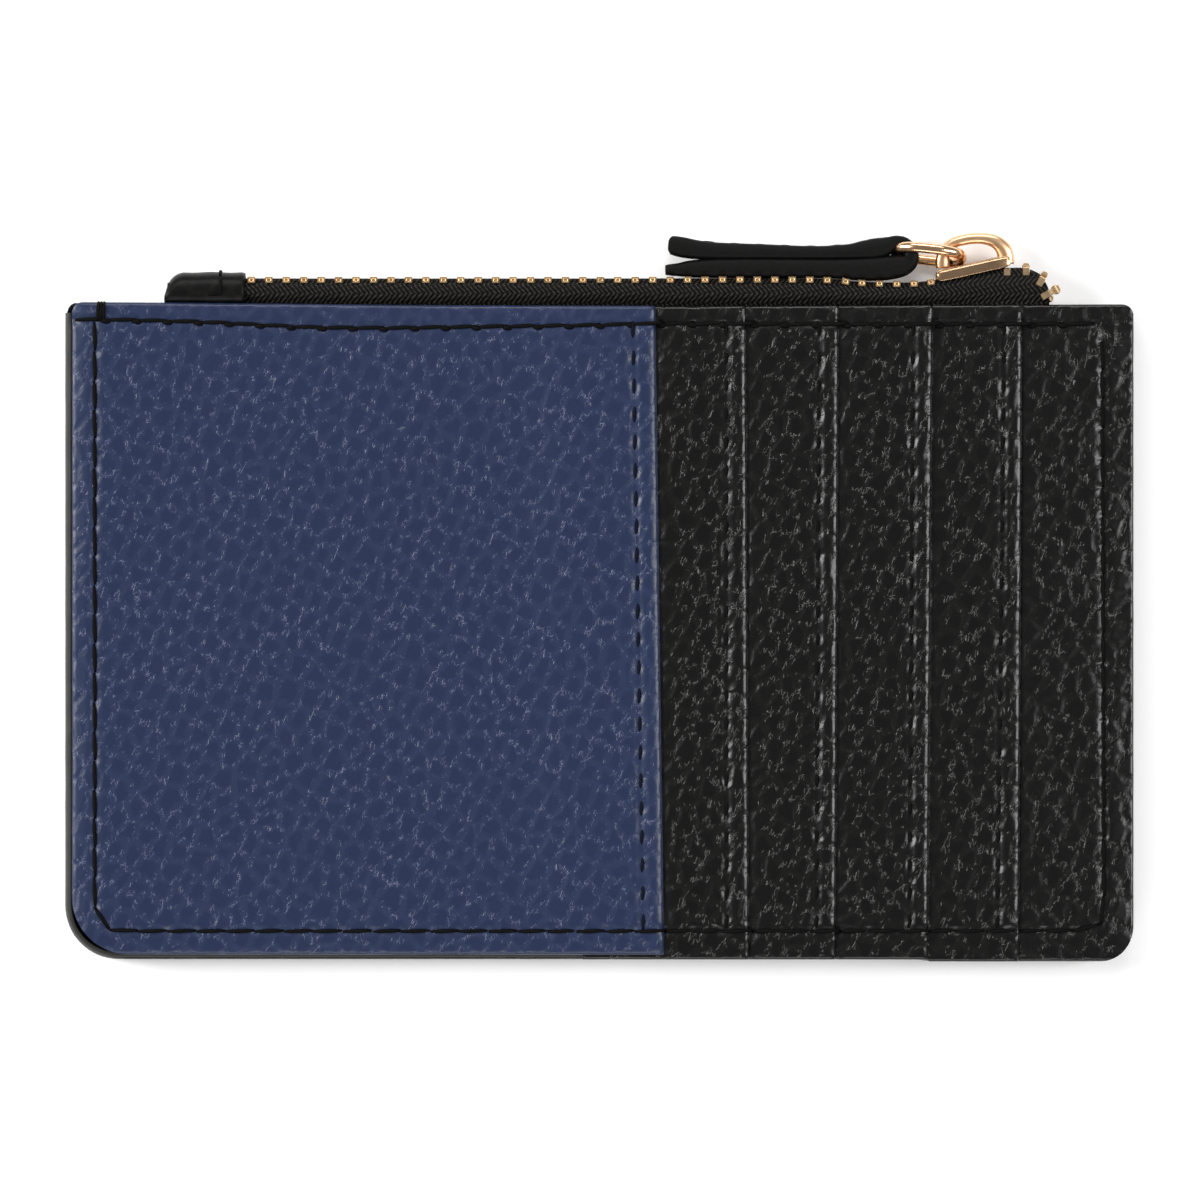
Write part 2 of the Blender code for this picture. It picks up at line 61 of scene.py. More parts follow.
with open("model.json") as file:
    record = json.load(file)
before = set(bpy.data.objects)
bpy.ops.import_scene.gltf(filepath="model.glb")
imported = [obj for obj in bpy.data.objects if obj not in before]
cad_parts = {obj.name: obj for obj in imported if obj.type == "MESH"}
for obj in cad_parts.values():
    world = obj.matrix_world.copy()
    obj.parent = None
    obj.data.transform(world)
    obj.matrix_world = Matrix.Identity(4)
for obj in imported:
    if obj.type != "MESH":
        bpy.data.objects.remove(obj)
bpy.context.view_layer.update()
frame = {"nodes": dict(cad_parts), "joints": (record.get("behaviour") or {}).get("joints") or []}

MM = 0.001
CASE = "case"
SLIDER = "slider"
RING = "ring"
TAB = "tab"


def node_mm(name):
    """A frame node's lowest and highest corners, in millimetres."""
    low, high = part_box(name)
    return Vector(low) / MM, Vector(high) / MM


def joint_mm(name):
    """A joint's place, in millimetres."""
    for joint in frame["joints"]:
        if joint["name"] == name:
            return Vector(joint["pos_m"]) / MM
    raise KeyError(name)


BACK_LOW, BACK_HIGH = node_mm("back_panel")
BLUE_LOW, BLUE_HIGH = node_mm("blue_panel")
BASE_LOW, BASE_HIGH = node_mm("front_base_panel")
BAND_LOW, BAND_HIGH = node_mm("edge_band")
STRIP_BOXES = [node_mm(f"slot_strip_{n}") for n in (1, 2, 3, 4)]
TAPE_LEFT = node_mm("zip_tape_front")[0].x
END_LOW, END_HIGH = node_mm("zip_end_tab")
END_STITCH_LOW, END_STITCH_HIGH = node_mm("zip_end_tab_thread")
SLIDER_LEFT = node_mm("slider_body")[0].x
RING_LOW, RING_HIGH = node_mm("pull_ring")
STRAP_LOW, STRAP_HIGH = node_mm("pull_tab")
RING_BAR = joint_mm("ring_swing")
STRAP_BAR = joint_mm("tab_swing")
ZIP_Z = RING_BAR.z
TOP_SEAM_Y = sum(c.y for c in node_mm("top_seam_thread")) / 2
SIDE_SEAM_X = node_mm("outline_thread")[1].x - 0.25
BOTTOM_SEAM_Y = node_mm("outline_thread")[0].y + 0.25


# ---------------------------------------------------------------- shader maths


class Sock:
    """One shader socket; arithmetic on it adds Math nodes to its tree."""

    def __init__(self, tree, socket):
        self.tree = tree
        self.socket = socket

    def math(self, operation, *values):
        return self.tree.node("ShaderNodeMath", {"operation": operation}, self, *values)

    def __add__(self, other):
        return self.math("ADD", other)

    def __sub__(self, other):
        return self.math("SUBTRACT", other)

    def __rsub__(self, other):
        return self.tree.node("ShaderNodeMath", {"operation": "SUBTRACT"}, other, self)

    def __mul__(self, other):
        return self.math("MULTIPLY", other)

    __radd__ = __add__
    __rmul__ = __mul__

    def __pow__(self, other):
        return self.math("POWER", other)

    def clamp(self):
        return self.tree.node("ShaderNodeClamp", {}, self, 0.0, 1.0)

    def smooth(self, low, high):
        """0 below low, 1 above high, and smooth between them."""
        settings = {"interpolation_type": "SMOOTHSTEP"}
        return self.tree.node("ShaderNodeMapRange", settings, self, low, high, 0.0, 1.0)


class Tree:
    """A material's node tree, with one Principled shader."""

    def __init__(self, name):
        self.material = bpy.data.materials.new(name)
        self.material.use_nodes = True
        self.nodes = self.material.node_tree.nodes
        self.links = self.material.node_tree.links
        self.shader = self.nodes["Principled BSDF"]

    def put(self, socket, value):
        """Link or set a socket; None leaves it as it is."""
        if isinstance(value, Sock):
            self.links.new(value.socket, socket)
        elif socket.type == "RGBA" and value is not None:
            socket.default_value = (*value, 1.0)
        elif value is not None:
            socket.default_value = value

    def node(self, kind, settings, *values, out=0, **named):
        """Add a node: settings first, then its sockets in order (None skips one) and by name."""
        made = self.nodes.new(kind)
        for key, value in settings.items():
            setattr(made, key, value)
        for socket, value in zip(made.inputs, values):
            self.put(socket, value)
        for key, value in named.items():
            self.put(made.inputs[key.replace("_", " ")], value)
        return Sock(self, made.outputs[out])

    def place(self, scale=1.0, stretch=(1.0, 1.0, 1.0), turn=0.0):
        """Object coordinates in millimetres, turned about Z, times scale and stretch."""
        here = self.node("ShaderNodeTexCoord", {}, out="Object")
        size = [MM / (s * scale) for s in stretch]
        settings = {"vector_type": "TEXTURE"}
        return self.node("ShaderNodeMapping", settings, here, None, (0.0, 0.0, turn), size)

    def noise(self, where, scale=1.0, detail=2.0, roughness=0.5, out=0):
        return self.node("ShaderNodeTexNoise", {}, where, None, scale, detail, roughness, out=out)

    def cells(self, where, randomness=1.0):
        """How far inside the nearest edge of a pattern of cells a place lies."""
        settings = {"feature": "DISTANCE_TO_EDGE", "voronoi_dimensions": "2D"}
        return self.node("ShaderNodeTexVoronoi", settings, where, Scale=1.0, Randomness=randomness)

    def bands(self, where, scale, distortion, direction="X"):
        """Soft parallel bands, a little wavy."""
        settings = {"bands_direction": direction}
        return self.node("ShaderNodeTexWave", settings, where, scale, distortion, 1.0, 1.0)

    def warp(self, where, by, amount):
        """Move a place by a noise, which breaks up a pattern's straight lines."""
        shift = self.node("ShaderNodeVectorMath", {"operation": "SCALE"}, by, Scale=amount)
        return self.node("ShaderNodeVectorMath", {"operation": "ADD"}, where, shift)

    def split(self, where):
        """A place's X and Y."""
        across = self.node("ShaderNodeSeparateXYZ", {}, where)
        return across, Sock(self, across.socket.node.outputs["Y"])

    def blend(self, factor, one, two):
        """One colour, or two where the factor is 1."""
        number_and_vector_sockets = (None,) * 5
        colours = {"data_type": "RGBA"}
        return self.node("ShaderNodeMix", colours, factor, *number_and_vector_sockets, one, two, out=2)

    def bump(self, height, strength, distance):
        """A normal for a height from 0 to 1; the distance is in millimetres."""
        values = {"Height": height, "Strength": strength, "Distance": distance * MM}
        return self.node("ShaderNodeBump", {}, **values)

    def finish(self, **values):
        """Set the Principled shader's sockets by name, and return the material."""
        for key, value in values.items():
            self.put(self.shader.inputs[key.replace("_", " ")], value)
        return self.material


# ---------------------------------------------------------------- materials


def shaded(colour, share):
    # A colour times a share; some calls paint shade or highlight with it, others a real tone.
    return tuple(c * share for c in colour)


def pebbled_leather(name, cell, crease, glint, cell_size, gloss, relief, turns, shine=0.45, edges=()):
    """Grained leather: smooth pebbles, and along the creases between them fine wrinkle lines that carry
    painted highlights in the glint colour.

    turns are the two directions of the wrinkle lines; the painted highlights fade beyond the seam, and just
    past each turned edge they are damped as painted shade where the fold shades the leather.
    """
    tree = Tree(name)
    where = tree.place(1.0 / cell_size, (1.0, 0.85, 1.0), -0.5)
    bend = tree.noise(where, 1.1, 2.0, out=1)
    edge = tree.cells(tree.warp(where, bend, 0.35), randomness=0.65)
    zone = 1.0 - edge.smooth(0.0, 0.30)
    near = 1.0 - edge.smooth(0.07, 0.28)
    wrinkle_glints = None
    for size, turn in zip((0.62, 0.50), turns):
        fine = tree.place(1.0 / size, (1.0, 0.36, 1.0), turn)
        fine = tree.warp(fine, tree.noise(fine, 0.6, 1.0, out=1), 0.28)
        thin = 1.0 - tree.cells(fine).smooth(0.0, 0.075)
        wrinkle_glints = wrinkle_glints + thin if wrinkle_glints else thin
    broken = tree.noise(tree.place(1.5, (1.0, 0.6, 1.0), -0.6), 1.0, 2.0).smooth(0.50, 0.64)
    uneven = tree.noise(tree.place(0.15), 1.0, 2.0).smooth(0.30, 0.65) * 0.65 + 0.35
    across, up = tree.split(tree.place())
    # More wrinkle lines, and so more painted highlights, towards the left side, which faces the light.
    uneven = uneven + (1.0 - across.smooth(-63.0, -52.0)) * 0.6
    # Fewer wrinkle lines above the top seam, where the leather is smoother.
    smooth_top_and_edge_shade = 1.0 - up.smooth(TOP_SEAM_Y - 0.2, TOP_SEAM_Y + 0.5) * 0.7
    # Painted shade: just past each turned edge the glint lines and their relief are damped, where the fold
    # shades the leather.
    for place in edges:
        past = across - place
        smooth_top_and_edge_shade = smooth_top_and_edge_shade * (1.0 - past.smooth(-0.2, 0.1) * (1.0 - past.smooth(0.8, 2.4)) * 0.85)
    lines = (wrinkle_glints.clamp() * near * broken * uneven * smooth_top_and_edge_shade).clamp()
    # The glint colour on the wrinkle lines is a painted highlight.
    colour = tree.blend(lines, tree.blend(zone, cell, crease), glint)
    grit = tree.noise(tree.place(3.5), 1.0, 2.0)
    height = (1.0 - zone) * 0.50 + lines * 0.50 + grit * 0.05
    roughness = gloss + grit * 0.10
    normal = tree.bump(height, 1.0, relief)
    return tree.finish(Base_Color=colour, Roughness=roughness, Normal=normal, Specular_IOR_Level=shine)


def smooth_leather(name, colour, paler_nap):
    """The strap's leather: fine velvety nap on its cut faces, with a soft sheen."""
    tree = Tree(name)
    nap = tree.noise(tree.place(3.0, (0.5, 1.0, 1.0)), 1.0, 4.0, 0.6)
    cloud = tree.noise(tree.place(0.3), 1.0, 2.0)
    # Paler flecks where the nap noise and a broad noise are both high.
    shade = tree.blend(nap.smooth(0.35, 0.75) * cloud, colour, paler_nap)
    normal = tree.bump(nap, 0.6, 0.05)
    gloss = 0.45 + nap * 0.2
    return tree.finish(Base_Color=shade, Roughness=gloss, Normal=normal, Specular_IOR_Level=0.15)


def painted_edge(name, colour):
    """Edge paint: smooth, a little uneven along its length, paler in random patches."""
    tree = Tree(name)
    along = tree.noise(tree.place(0.35), 1.0, 3.0, 0.6)
    fine = tree.noise(tree.place(4.0), 1.0, 2.0)
    paler = tuple(min(c * 1.7 + 0.004, 1.0) for c in colour)
    shade = tree.blend(along.smooth(0.35, 0.75) * 0.7, colour, paler)
    normal = tree.bump(along * 0.5 + fine * 0.5, 0.5, 0.04)
    gloss = 0.45 + fine * 0.15
    return tree.finish(Base_Color=shade, Roughness=gloss, Normal=normal, Specular_IOR_Level=0.25)


def twisted_thread(name, colour):
    """Waxed sewing thread with its plies laid at a slant, painted darker in the grooves between plies
    (painted shade).
    """
    tree = Tree(name)
    plies = tree.bands(tree.place(turn=0.7), 2.2, 1.0)
    # Painted shade: darker where the plies dip.
    shade = tree.blend(plies.smooth(0.2, 0.8), shaded(colour, 0.55), colour)
    normal = tree.bump(plies, 0.6, 0.05)
    gloss = 0.62 + plies * 0.1
    return tree.finish(Base_Color=shade, Roughness=gloss, Normal=normal, Specular_IOR_Level=0.10)


def twill_tape(name, dark, rib_highlight):
    """Herringbone twill: slanting ribs that turn back at every row, with a little fuzz; the raised ribs are
    painted paler, a painted highlight.
    """
    tree = Tree(name)
    bend = tree.noise(tree.place(1.1), 1.0, 2.0, out=1)
    where = tree.warp(tree.place(), bend, 0.28)
    across, up = tree.split(where)
    zigzag = (up + 0.35).math("PINGPONG", 1.15)
    slant = (across + zigzag * 0.8) * (math.tau / 0.60)
    ribs = slant.math("SINE") * 0.5 + 0.5
    rows = ((up - across * 0.25) * (math.tau / 1.24)).math("SINE").math("ABSOLUTE")
    fuzz = tree.noise(tree.place(7.0), 1.0, 3.0)
    height = (ribs * (rows * 0.45 + 0.55)).clamp()
    # Painted highlight: the higher the rib, the paler its colour.
    shade = tree.blend((height**2.0 * (fuzz * 1.2 + 0.3)).clamp(), dark, rib_highlight)
    normal = tree.bump(height + fuzz * 0.25, 1.0, 0.32)
    gloss = 0.55 + fuzz * 0.2
    return tree.finish(Base_Color=shade, Roughness=gloss, Normal=normal, Specular_IOR_Level=0.15)


def gold_metal(name, colour, roughness, dulled):
    """Polished gold plate with faint handling marks, duller in random patches."""
    tree = Tree(name)
    marks = tree.noise(tree.place(2.5, (1.0, 6.0, 1.0), 0.4), 1.0, 4.0, 0.65)
    cloud = tree.noise(tree.place(0.6), 1.0, 2.0)
    shade = tree.blend(cloud.smooth(0.3, 0.8), colour, dulled)
    normal = tree.bump(marks, 0.25, 0.012)
    gloss = roughness + marks * 0.10
    return tree.finish(Base_Color=shade, Metallic=1.0, Roughness=gloss, Normal=normal)


def lining_weave(name, colour):
    """Fine plain-woven lining, painted paler where its threads rise (painted highlight)."""
    tree = Tree(name)
    where = tree.place()
    weave = tree.bands(where, 1.6, 0.3) * tree.bands(where, 1.6, 0.3, "Y")
    # Painted highlight: paler where the weave rises.
    shade = tree.blend(weave, colour, shaded(colour, 2.2))
    return tree.finish(Base_Color=shade, Roughness=0.8, Normal=tree.bump(weave, 0.5, 0.05))


def fibre_board(name, colour):
    """Grey stiffener board with short fibres."""
    tree = Tree(name)
    fibres = tree.noise(tree.place(2.0, (1.0, 5.0, 1.0), 0.3), 1.0, 4.0, 0.6)
    shade = tree.blend(fibres.smooth(0.3, 0.7), colour, shaded(colour, 0.7))
    return tree.finish(Base_Color=shade, Roughness=0.9, Normal=tree.bump(fibres, 0.4, 0.05))


# ---------------------------------------------------------------- mesh helpers


def add_piece(name, vertices, faces, material, body, slot, stands_for=(), flat=False):
    """Make a piece from points in millimetres, and let it ride on a body."""
    mesh = bpy.data.meshes.new(name)
    mesh.from_pydata([tuple(float(c) * MM for c in v) for v in vertices], [], faces)
    mesh.update()
    return finish_piece(name, mesh, material, body, slot, stands_for, flat)


def finish_piece(name, mesh, material, body, slot, stands_for=(), flat=False):
    """Give a mesh its material, and make it a piece on a body in place of the nodes it replaces. slot is not
    used.
    """
    fixer = bmesh.new()
    fixer.from_mesh(mesh)
    bmesh.ops.recalc_face_normals(fixer, faces=fixer.faces)
    fixer.to_mesh(mesh)
    fixer.free()
    mesh.materials.append(material)
    if not flat:
        mesh.shade_smooth()
    piece = bpy.data.objects.new(name, mesh)
    bpy.context.scene.collection.objects.link(piece)
    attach(piece, body)
    if stands_for:
        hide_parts(*stands_for)
    return piece


def soften(piece, width):
    """Round a piece's sharp edges."""
    bevel = piece.modifiers.new("Soft edges", "BEVEL")
    bevel.width = width * MM
    bevel.segments = 3
    bevel.limit_method = "ANGLE"
    bevel.angle_limit = math.radians(25.0)


def skin(rings, closed=False):
    """Points and faces of a skin over rings of equal length, capped unless it closes on itself."""
    vertices = [point for ring in rings for point in ring]
    count = len(rings[0])
    faces = []
    spans = len(rings) if closed else len(rings) - 1
    for r in range(spans):
        one, two = r * count, (r + 1) % len(rings) * count
        for i in range(count):
            j = (i + 1) % count
            faces.append((one + i, one + j, two + j, two + i))
    if not closed:
        faces.append(tuple(range(count)))
        faces.append(tuple((len(rings) - 1) * count + i for i in range(count)))
    return vertices, faces


def squared_oval(sides, across, up):
    """Unit points round an oval; the lower its two powers are, the squarer it is."""
    points = []
    for k in range(sides):
        angle = math.tau * k / sides
        c, s = math.cos(angle), math.sin(angle)
        points.append((math.copysign(abs(c) ** across, c), math.copysign(abs(s) ** up, s)))
    return points


def cut_square(corner):
    """Unit points round a square with its corners cut off."""
    upper = [(1, corner), (corner, 1), (-corner, 1), (-1, corner)]
    return upper + [(-a, -b) for a, b in upper]


def bar(points, half_thick, half_wide, sides, across, up):
    """A bar along points, squared in section: half_thick(i) and half_wide(i) give it at each point."""
    rings = []
    count = len(points) - 1
    for i, point in enumerate(points):
        ahead = points[min(i + 1, count)] - points[max(i - 1, 0)]
        along = Vector((ahead.x, ahead.y)).normalized()
        normal = Vector((-along.y, along.x))
        ring = []
        for a, b in squared_oval(sides, across, up):
            place = point.xy + normal * (a * half_thick(i))
            ring.append((place.x, place.y, ZIP_Z + b * half_wide(i)))
        rings.append(ring)
    return skin(rings)


def join_parts(parts):
    """Several (vertices, faces) as one."""
    vertices, faces = [], []
    for more_vertices, more_faces in parts:
        base = len(vertices)
        vertices += more_vertices
        faces += [tuple(base + i for i in face) for face in more_faces]
    return vertices, faces


def spaced(low, high, step, edge=0.06, growth=1.7):
    """Values from low to high, close together at both ends and step apart between them."""
    near = [0.0]
    gap = edge
    while gap < step and near[-1] < (high - low) / 3:
        near.append(near[-1] + gap)
        gap *= growth
    middle_low, middle_high = low + near[-1], high - near[-1]
    count = max(int(round((middle_high - middle_low) / step)), 1)
    middle = [middle_low + (middle_high - middle_low) * i / count for i in range(count + 1)]
    return np.array([low + n for n in near[:-1]] + middle + [high - n for n in near[:-1]][::-1])


def sheet_solid(
    name, left, right, ys, top, under, step, material, slot, stands_for, foot=None, fine_from=None
):
    """A closed leather sheet; left(y) and right(y) bound it, top and under give its two surfaces.

    foot gives its lower edge where that isn't straight, and its mesh is coarse up to fine_from.
    """
    lefts = np.array([left(y) for y in ys])
    rights = np.array([right(y) for y in ys])
    across = spaced(float(lefts.min()), float(rights.max()), step)
    if fine_from is not None:
        coarse = np.arange(float(lefts.min()), fine_from, 2.0)
        across = np.concatenate([coarse, across[across > fine_from]])
    share = (across - across[0]) / (across[-1] - across[0])
    x = lefts[:, None] + (rights - lefts)[:, None] * share[None, :]
    y = np.repeat(np.array(ys)[:, None], len(share), axis=1)
    y = y + (top_line(x) - TOP) * ramp(y - TOP_PART, 6.0)
    if foot is not None:
        y = y + (foot(x) - ys[0]) * ramp(BOTTOM_PART - y, 3.0)
    upper = top(x, y)
    lower = np.minimum(under(x, y), upper - 0.02)
    rows, columns = x.shape
    points = [np.stack([x, y, z], axis=-1).reshape(-1, 3) for z in (upper, lower)]
    base = rows * columns
    index = np.arange(base).reshape(rows, columns)
    quad = np.stack([index[:-1, :-1], index[:-1, 1:], index[1:, 1:], index[1:, :-1]], axis=-1)
    quad = quad.reshape(-1, 4)
    rim = np.concatenate([index[0, :], index[1:, -1], index[-1, -2::-1], index[-2:0:-1, 0]])
    after = np.roll(rim, -1)
    wall = np.stack([rim, rim + base, after + base, after], axis=-1)
    faces = np.concatenate([quad, quad[:, ::-1] + base, wall])
    vertices = np.concatenate(points) * MM
    mesh = bpy.data.meshes.new(name)
    mesh.vertices.add(len(vertices))
    mesh.vertices.foreach_set("co", vertices.ravel())
    mesh.loops.add(faces.size)
    mesh.loops.foreach_set("vertex_index", faces.ravel())
    mesh.polygons.add(len(faces))
    mesh.polygons.foreach_set("loop_start", np.arange(0, faces.size, 4))
    mesh.update()
    mesh.validate()
    return finish_piece(name, mesh, material, CASE, slot, stands_for)


def ramp(distance, length):
    """0 up to a distance of 0, 1 from length on, and straight between them."""
    return np.clip(distance / length, 0, 1)


def undulation(x, y, seed, size, depth):
    """Gentle hills and hollows, as hide has, from a few long waves."""
    rng = np.random.default_rng(seed)
    total = np.zeros_like(x)
    for _ in range(9):
        heading = rng.uniform(0, math.tau)
        length = size * rng.uniform(0.6, 1.6)
        phase = rng.uniform(0, math.tau)
        total += np.sin((x * math.cos(heading) + y * math.sin(heading)) * math.tau / length + phase)
    return total * depth / 9


def roll_off(distance, radius):
    """How far a rounded edge falls away, at a distance inside the edge."""
    inside = ramp(distance, radius)
    return radius * (1.0 - np.sqrt(np.clip(1.0 - (1.0 - inside) ** 2, 0.0, 1.0)))


def channel(across, depth, width=0.42):
    """The soft hollow that a row of stitches pulls into the leather."""
    return depth * np.exp(-((across / width) ** 2))


def dimples(x, y, holes, depth, wide=0.34, tall=0.34):
    """The pits round needle holes."""
    total = np.zeros_like(x)
    for hole_x, hole_y in holes:
        near = (abs(x - hole_x) < 1.5) & (abs(y - hole_y) < 1.5)
        away = ((x[near] - hole_x) / wide) ** 2 + ((y[near] - hole_y) / tall) ** 2
        total[near] = np.maximum(total[near], depth * np.exp(-away))
    return total


# ---------------------------------------------------------------- the front's shape

# Needle holes are this far apart along the outline, the top seam and the strips
PITCH = 3.55
TOP_PITCH = 3.75
STRIP_PITCH = 3.42
# Depths of a seam's hollow and of its needle holes
GROOVE = 0.15
HOLE = 0.50
# The blue leather stops this far from the case's left side and bottom
LEFT_INSET = 0.9
BOTTOM_INSET = 0.62
# How far each leather stays inside the case's outline
BLUE_TOP_GAP = 0.08
STRIP_TOP_GAP = 0.12
BASE_TOP_GAP = 0.10
BASE_SIDE_GAP = 0.12
BLACK_FOOT_GAP = 0.02
BACK_GAP = 0.1
LEFT = BACK_LOW.x
RIGHT = BACK_HIGH.x
BOTTOM = BACK_LOW.y
TOP = BACK_HIGH.y
BOTTOM_LEFT_RADIUS = 6.5
BOTTOM_RIGHT_RADIUS = 4.1
TOP_RADIUS = 1.4
LEFT_SEAM_RADIUS = 2.6
RIGHT_SEAM_RADIUS = 2.0
FOLD_TOP = TOP - 1.7
# The last strips and the base hang a little lower, from here on
SAG_X = 39.8
SAG = 0.25
# Heights from which a sheet follows its upper and its lower edge
TOP_PART = 33.0
BOTTOM_PART = -36.0
STRIPS_LEFT = STRIP_BOXES[0][0].x
STRIP_UNDER = STRIP_BOXES[0][0].z
STRIP_HIDDEN = STRIP_UNDER + 0.47
BASE_VISIBLE = BASE_HIGH.z + 0.5

# How far each turned edge leans: its offset at the top and at the bottom
EDGE_LEANS = ((-0.6, 0.5), (-0.2, 0.2), (0.2, -0.2), (0.3, -0.3), (0.2, -0.2))
# How far inside it each stitch line runs, at the top and at the bottom
STITCH_INSETS = ((2.8, 2.5), (2.4, 2.75), (2.4, 2.4), (2.4, 2.3), (2.2, 2.7))
EDGE_PLACES = [BLUE_HIGH.x] + [high.x for low, high in STRIP_BOXES]
# The upper edge and the upper seam, sewn by eye: places along X, and how far each is off its height
TOP_LINE = ((-65.0, -50.0, -20.0, 10.0, 40.0, 65.0), (0.0, -0.1, -0.4, -0.5, -0.35, -0.25))
TOP_SEAM = (
    (-63.5, -58.0, -47.0, -35.0, -26.0, 0.0, 6.0, 30.0, 61.0),
    (0.6, 0.55, 0.25, -0.4, -0.45, -0.1, 0.1, 0.0, 0.05),
)


def top_line(x):
    """The leather's upper edge, which sags a little in the middle."""
    return TOP + np.interp(x, *TOP_LINE)


def top_seam(x):
    """The height of the upper seam."""
    return TOP_SEAM_Y + np.interp(x, *TOP_SEAM)


def from_bottom(y):
    """0 at the leather's bottom edge and 1 at its top edge."""
    return (y - BOTTOM) / (TOP - BOTTOM)


def turned_edge(number, y):
    """Where turned edge 0 (the blue panel's) to 4 (the last strip's) runs, at height y."""
    top_lean, bottom_lean = EDGE_LEANS[number]
    return EDGE_PLACES[number] + bottom_lean + (top_lean - bottom_lean) * from_bottom(y)


def stitch_line(number, y):
    """Where the stitching beside a turned edge runs, at height y."""
    top_inset, bottom_inset = STITCH_INSETS[number]
    return turned_edge(number, y) - bottom_inset - (top_inset - bottom_inset) * from_bottom(y)


def corner_inset(y, low, high, low_radius, high_radius):
    """How far a side draws in at y, for round corners at its two ends."""
    inset = 0.0
    if y < low + low_radius:
        rise = low + low_radius - y
        inset = low_radius - math.sqrt(max(low_radius**2 - rise**2, 0.0))
    if y > high - high_radius:
        rise = y - high + high_radius
        inset = high_radius - math.sqrt(max(high_radius**2 - rise**2, 0.0))
    return inset


def walk(line, step, start=0.0):
    """Places a step apart along a line of points."""
    total = sum((two - one).length for one, two in zip(line, line[1:]))
    count = int((total - start) / step) + 1
    return [tuple(along_line(line, start + step * i)[0].xy) for i in range(count)]


def along_line(line, distance):
    """Place and direction at a distance along a line of points."""
    for one, two in zip(line, line[1:]):
        run = (two - one).length
        if distance <= run:
            return one.lerp(two, distance / run), (two - one).normalized()
        distance -= run
    return line[-1], (line[-1] - line[-2]).normalized()


def quarter(centre_x, centre_y, radius, start):
    """A quarter turn, counter-clockwise from an angle."""
    angles = [start + math.pi / 2 * i / 8 for i in range(9)]
    return [Vector((centre_x + radius * math.cos(a), centre_y + radius * math.sin(a))) for a in angles]


def outline_seam():
    """Down the left side, round the corners along the bottom, and up the right side."""
    left, right = LEFT_SEAM_RADIUS, RIGHT_SEAM_RADIUS
    line = [Vector((-SIDE_SEAM_X, float(top_seam(-SIDE_SEAM_X))))]
    line += quarter(-SIDE_SEAM_X + left, BOTTOM_SEAM_Y + left, left, math.pi)
    line += quarter(SIDE_SEAM_X - right, BOTTOM_SEAM_Y + right, right, math.pi * 1.5)
    return line + [Vector((SIDE_SEAM_X - 0.2, float(top_seam(SIDE_SEAM_X))))]


def strip_holes(number):
    """The needle holes beside a turned edge."""
    low = BOTTOM_SEAM_Y + 1.2
    count = int((TOP_SEAM_Y - 0.6 - low) / STRIP_PITCH) + 1
    heights = [low + STRIP_PITCH * i for i in range(count)]
    return [(stitch_line(number, y), y) for y in heights]


OUTLINE_HOLES = walk(outline_seam(), PITCH, 0.3)
TOP_HOLES = [(x, float(top_seam(x))) for x in np.arange(-63.7, SIDE_SEAM_X + 0.2, TOP_PITCH)]


def perimeter_grooves(x, y):
    """The hollows along the side, bottom and top seams."""
    radius = np.where(x < 0, LEFT_SEAM_RADIUS, RIGHT_SEAM_RADIUS)
    beside = abs(x) - SIDE_SEAM_X + radius
    below = BOTTOM_SEAM_Y + radius - y
    corner = np.hypot(np.maximum(beside, 0), np.maximum(below, 0))
    corner = corner + np.minimum(np.maximum(beside, below), 0)
    outline = channel(corner - radius, GROOVE) * ramp(top_seam(x) + 0.3 - y, 0.4)
    top = channel(y - top_seam(x), GROOVE)
    pits = np.maximum(dimples(x, y, OUTLINE_HOLES, HOLE), dimples(x, y, TOP_HOLES, HOLE))
    return np.maximum(np.maximum(outline, top), pits)


def margins(x, y, fall):
    """The body thins outside its seams, towards the painted edge."""
    sides = ramp(abs(x) - SIDE_SEAM_X, 3.0)
    bottom = ramp(BOTTOM_SEAM_Y - y, 3.0)
    top = ramp(y - TOP_SEAM_Y, 2.6) * 0.6
    return fall * (np.maximum(sides, np.maximum(bottom, top)) ** 1.5)


def fold_bulge(x, y, number, depth):
    """The doubled leather between a turned edge and its stitching, and the stitching's groove."""
    edge = turned_edge(number, y)
    seam = stitch_line(number, y)
    across = (x - seam) / (edge - seam)
    crest = np.where((across > 0) & (across < 1), np.sin(np.clip(across, 0, 1) * math.pi) ** 0.8, 0.0)
    inside = ramp(y - BOTTOM_SEAM_Y, 0.5) * ramp(top_seam(x) - y, 0.5)
    sewn = np.maximum(channel(x - seam, 0.09, 0.38), dimples(x, y, strip_holes(number), 0.34, 0.27, 0.62))
    return (depth * crest - sewn) * inside


def blue_top(x, y):
    rise = ramp(x - STRIPS_LEFT + 9.0, 10.0)
    z = BLUE_LOW.z + 0.68 + (BLUE_HIGH.z - BLUE_LOW.z - 0.74) * rise * rise * (3 - 2 * rise)
    z = z + undulation(x, y, 3, 22.0, 0.16) + undulation(x, y, 4, 7.0, 0.07)
    z = z + fold_bulge(x, y, 0, 0.12) - perimeter_grooves(x, y) - margins(x, y, 0.35)
    z = z - roll_off(turned_edge(0, y) - x, 0.62) - roll_off(top_line(x) - BLUE_TOP_GAP - y, 0.4)
    outside = np.minimum(x - LEFT - LEFT_INSET, y - BOTTOM - BOTTOM_INSET)
    return z - roll_off(outside, 0.35) * 0.9


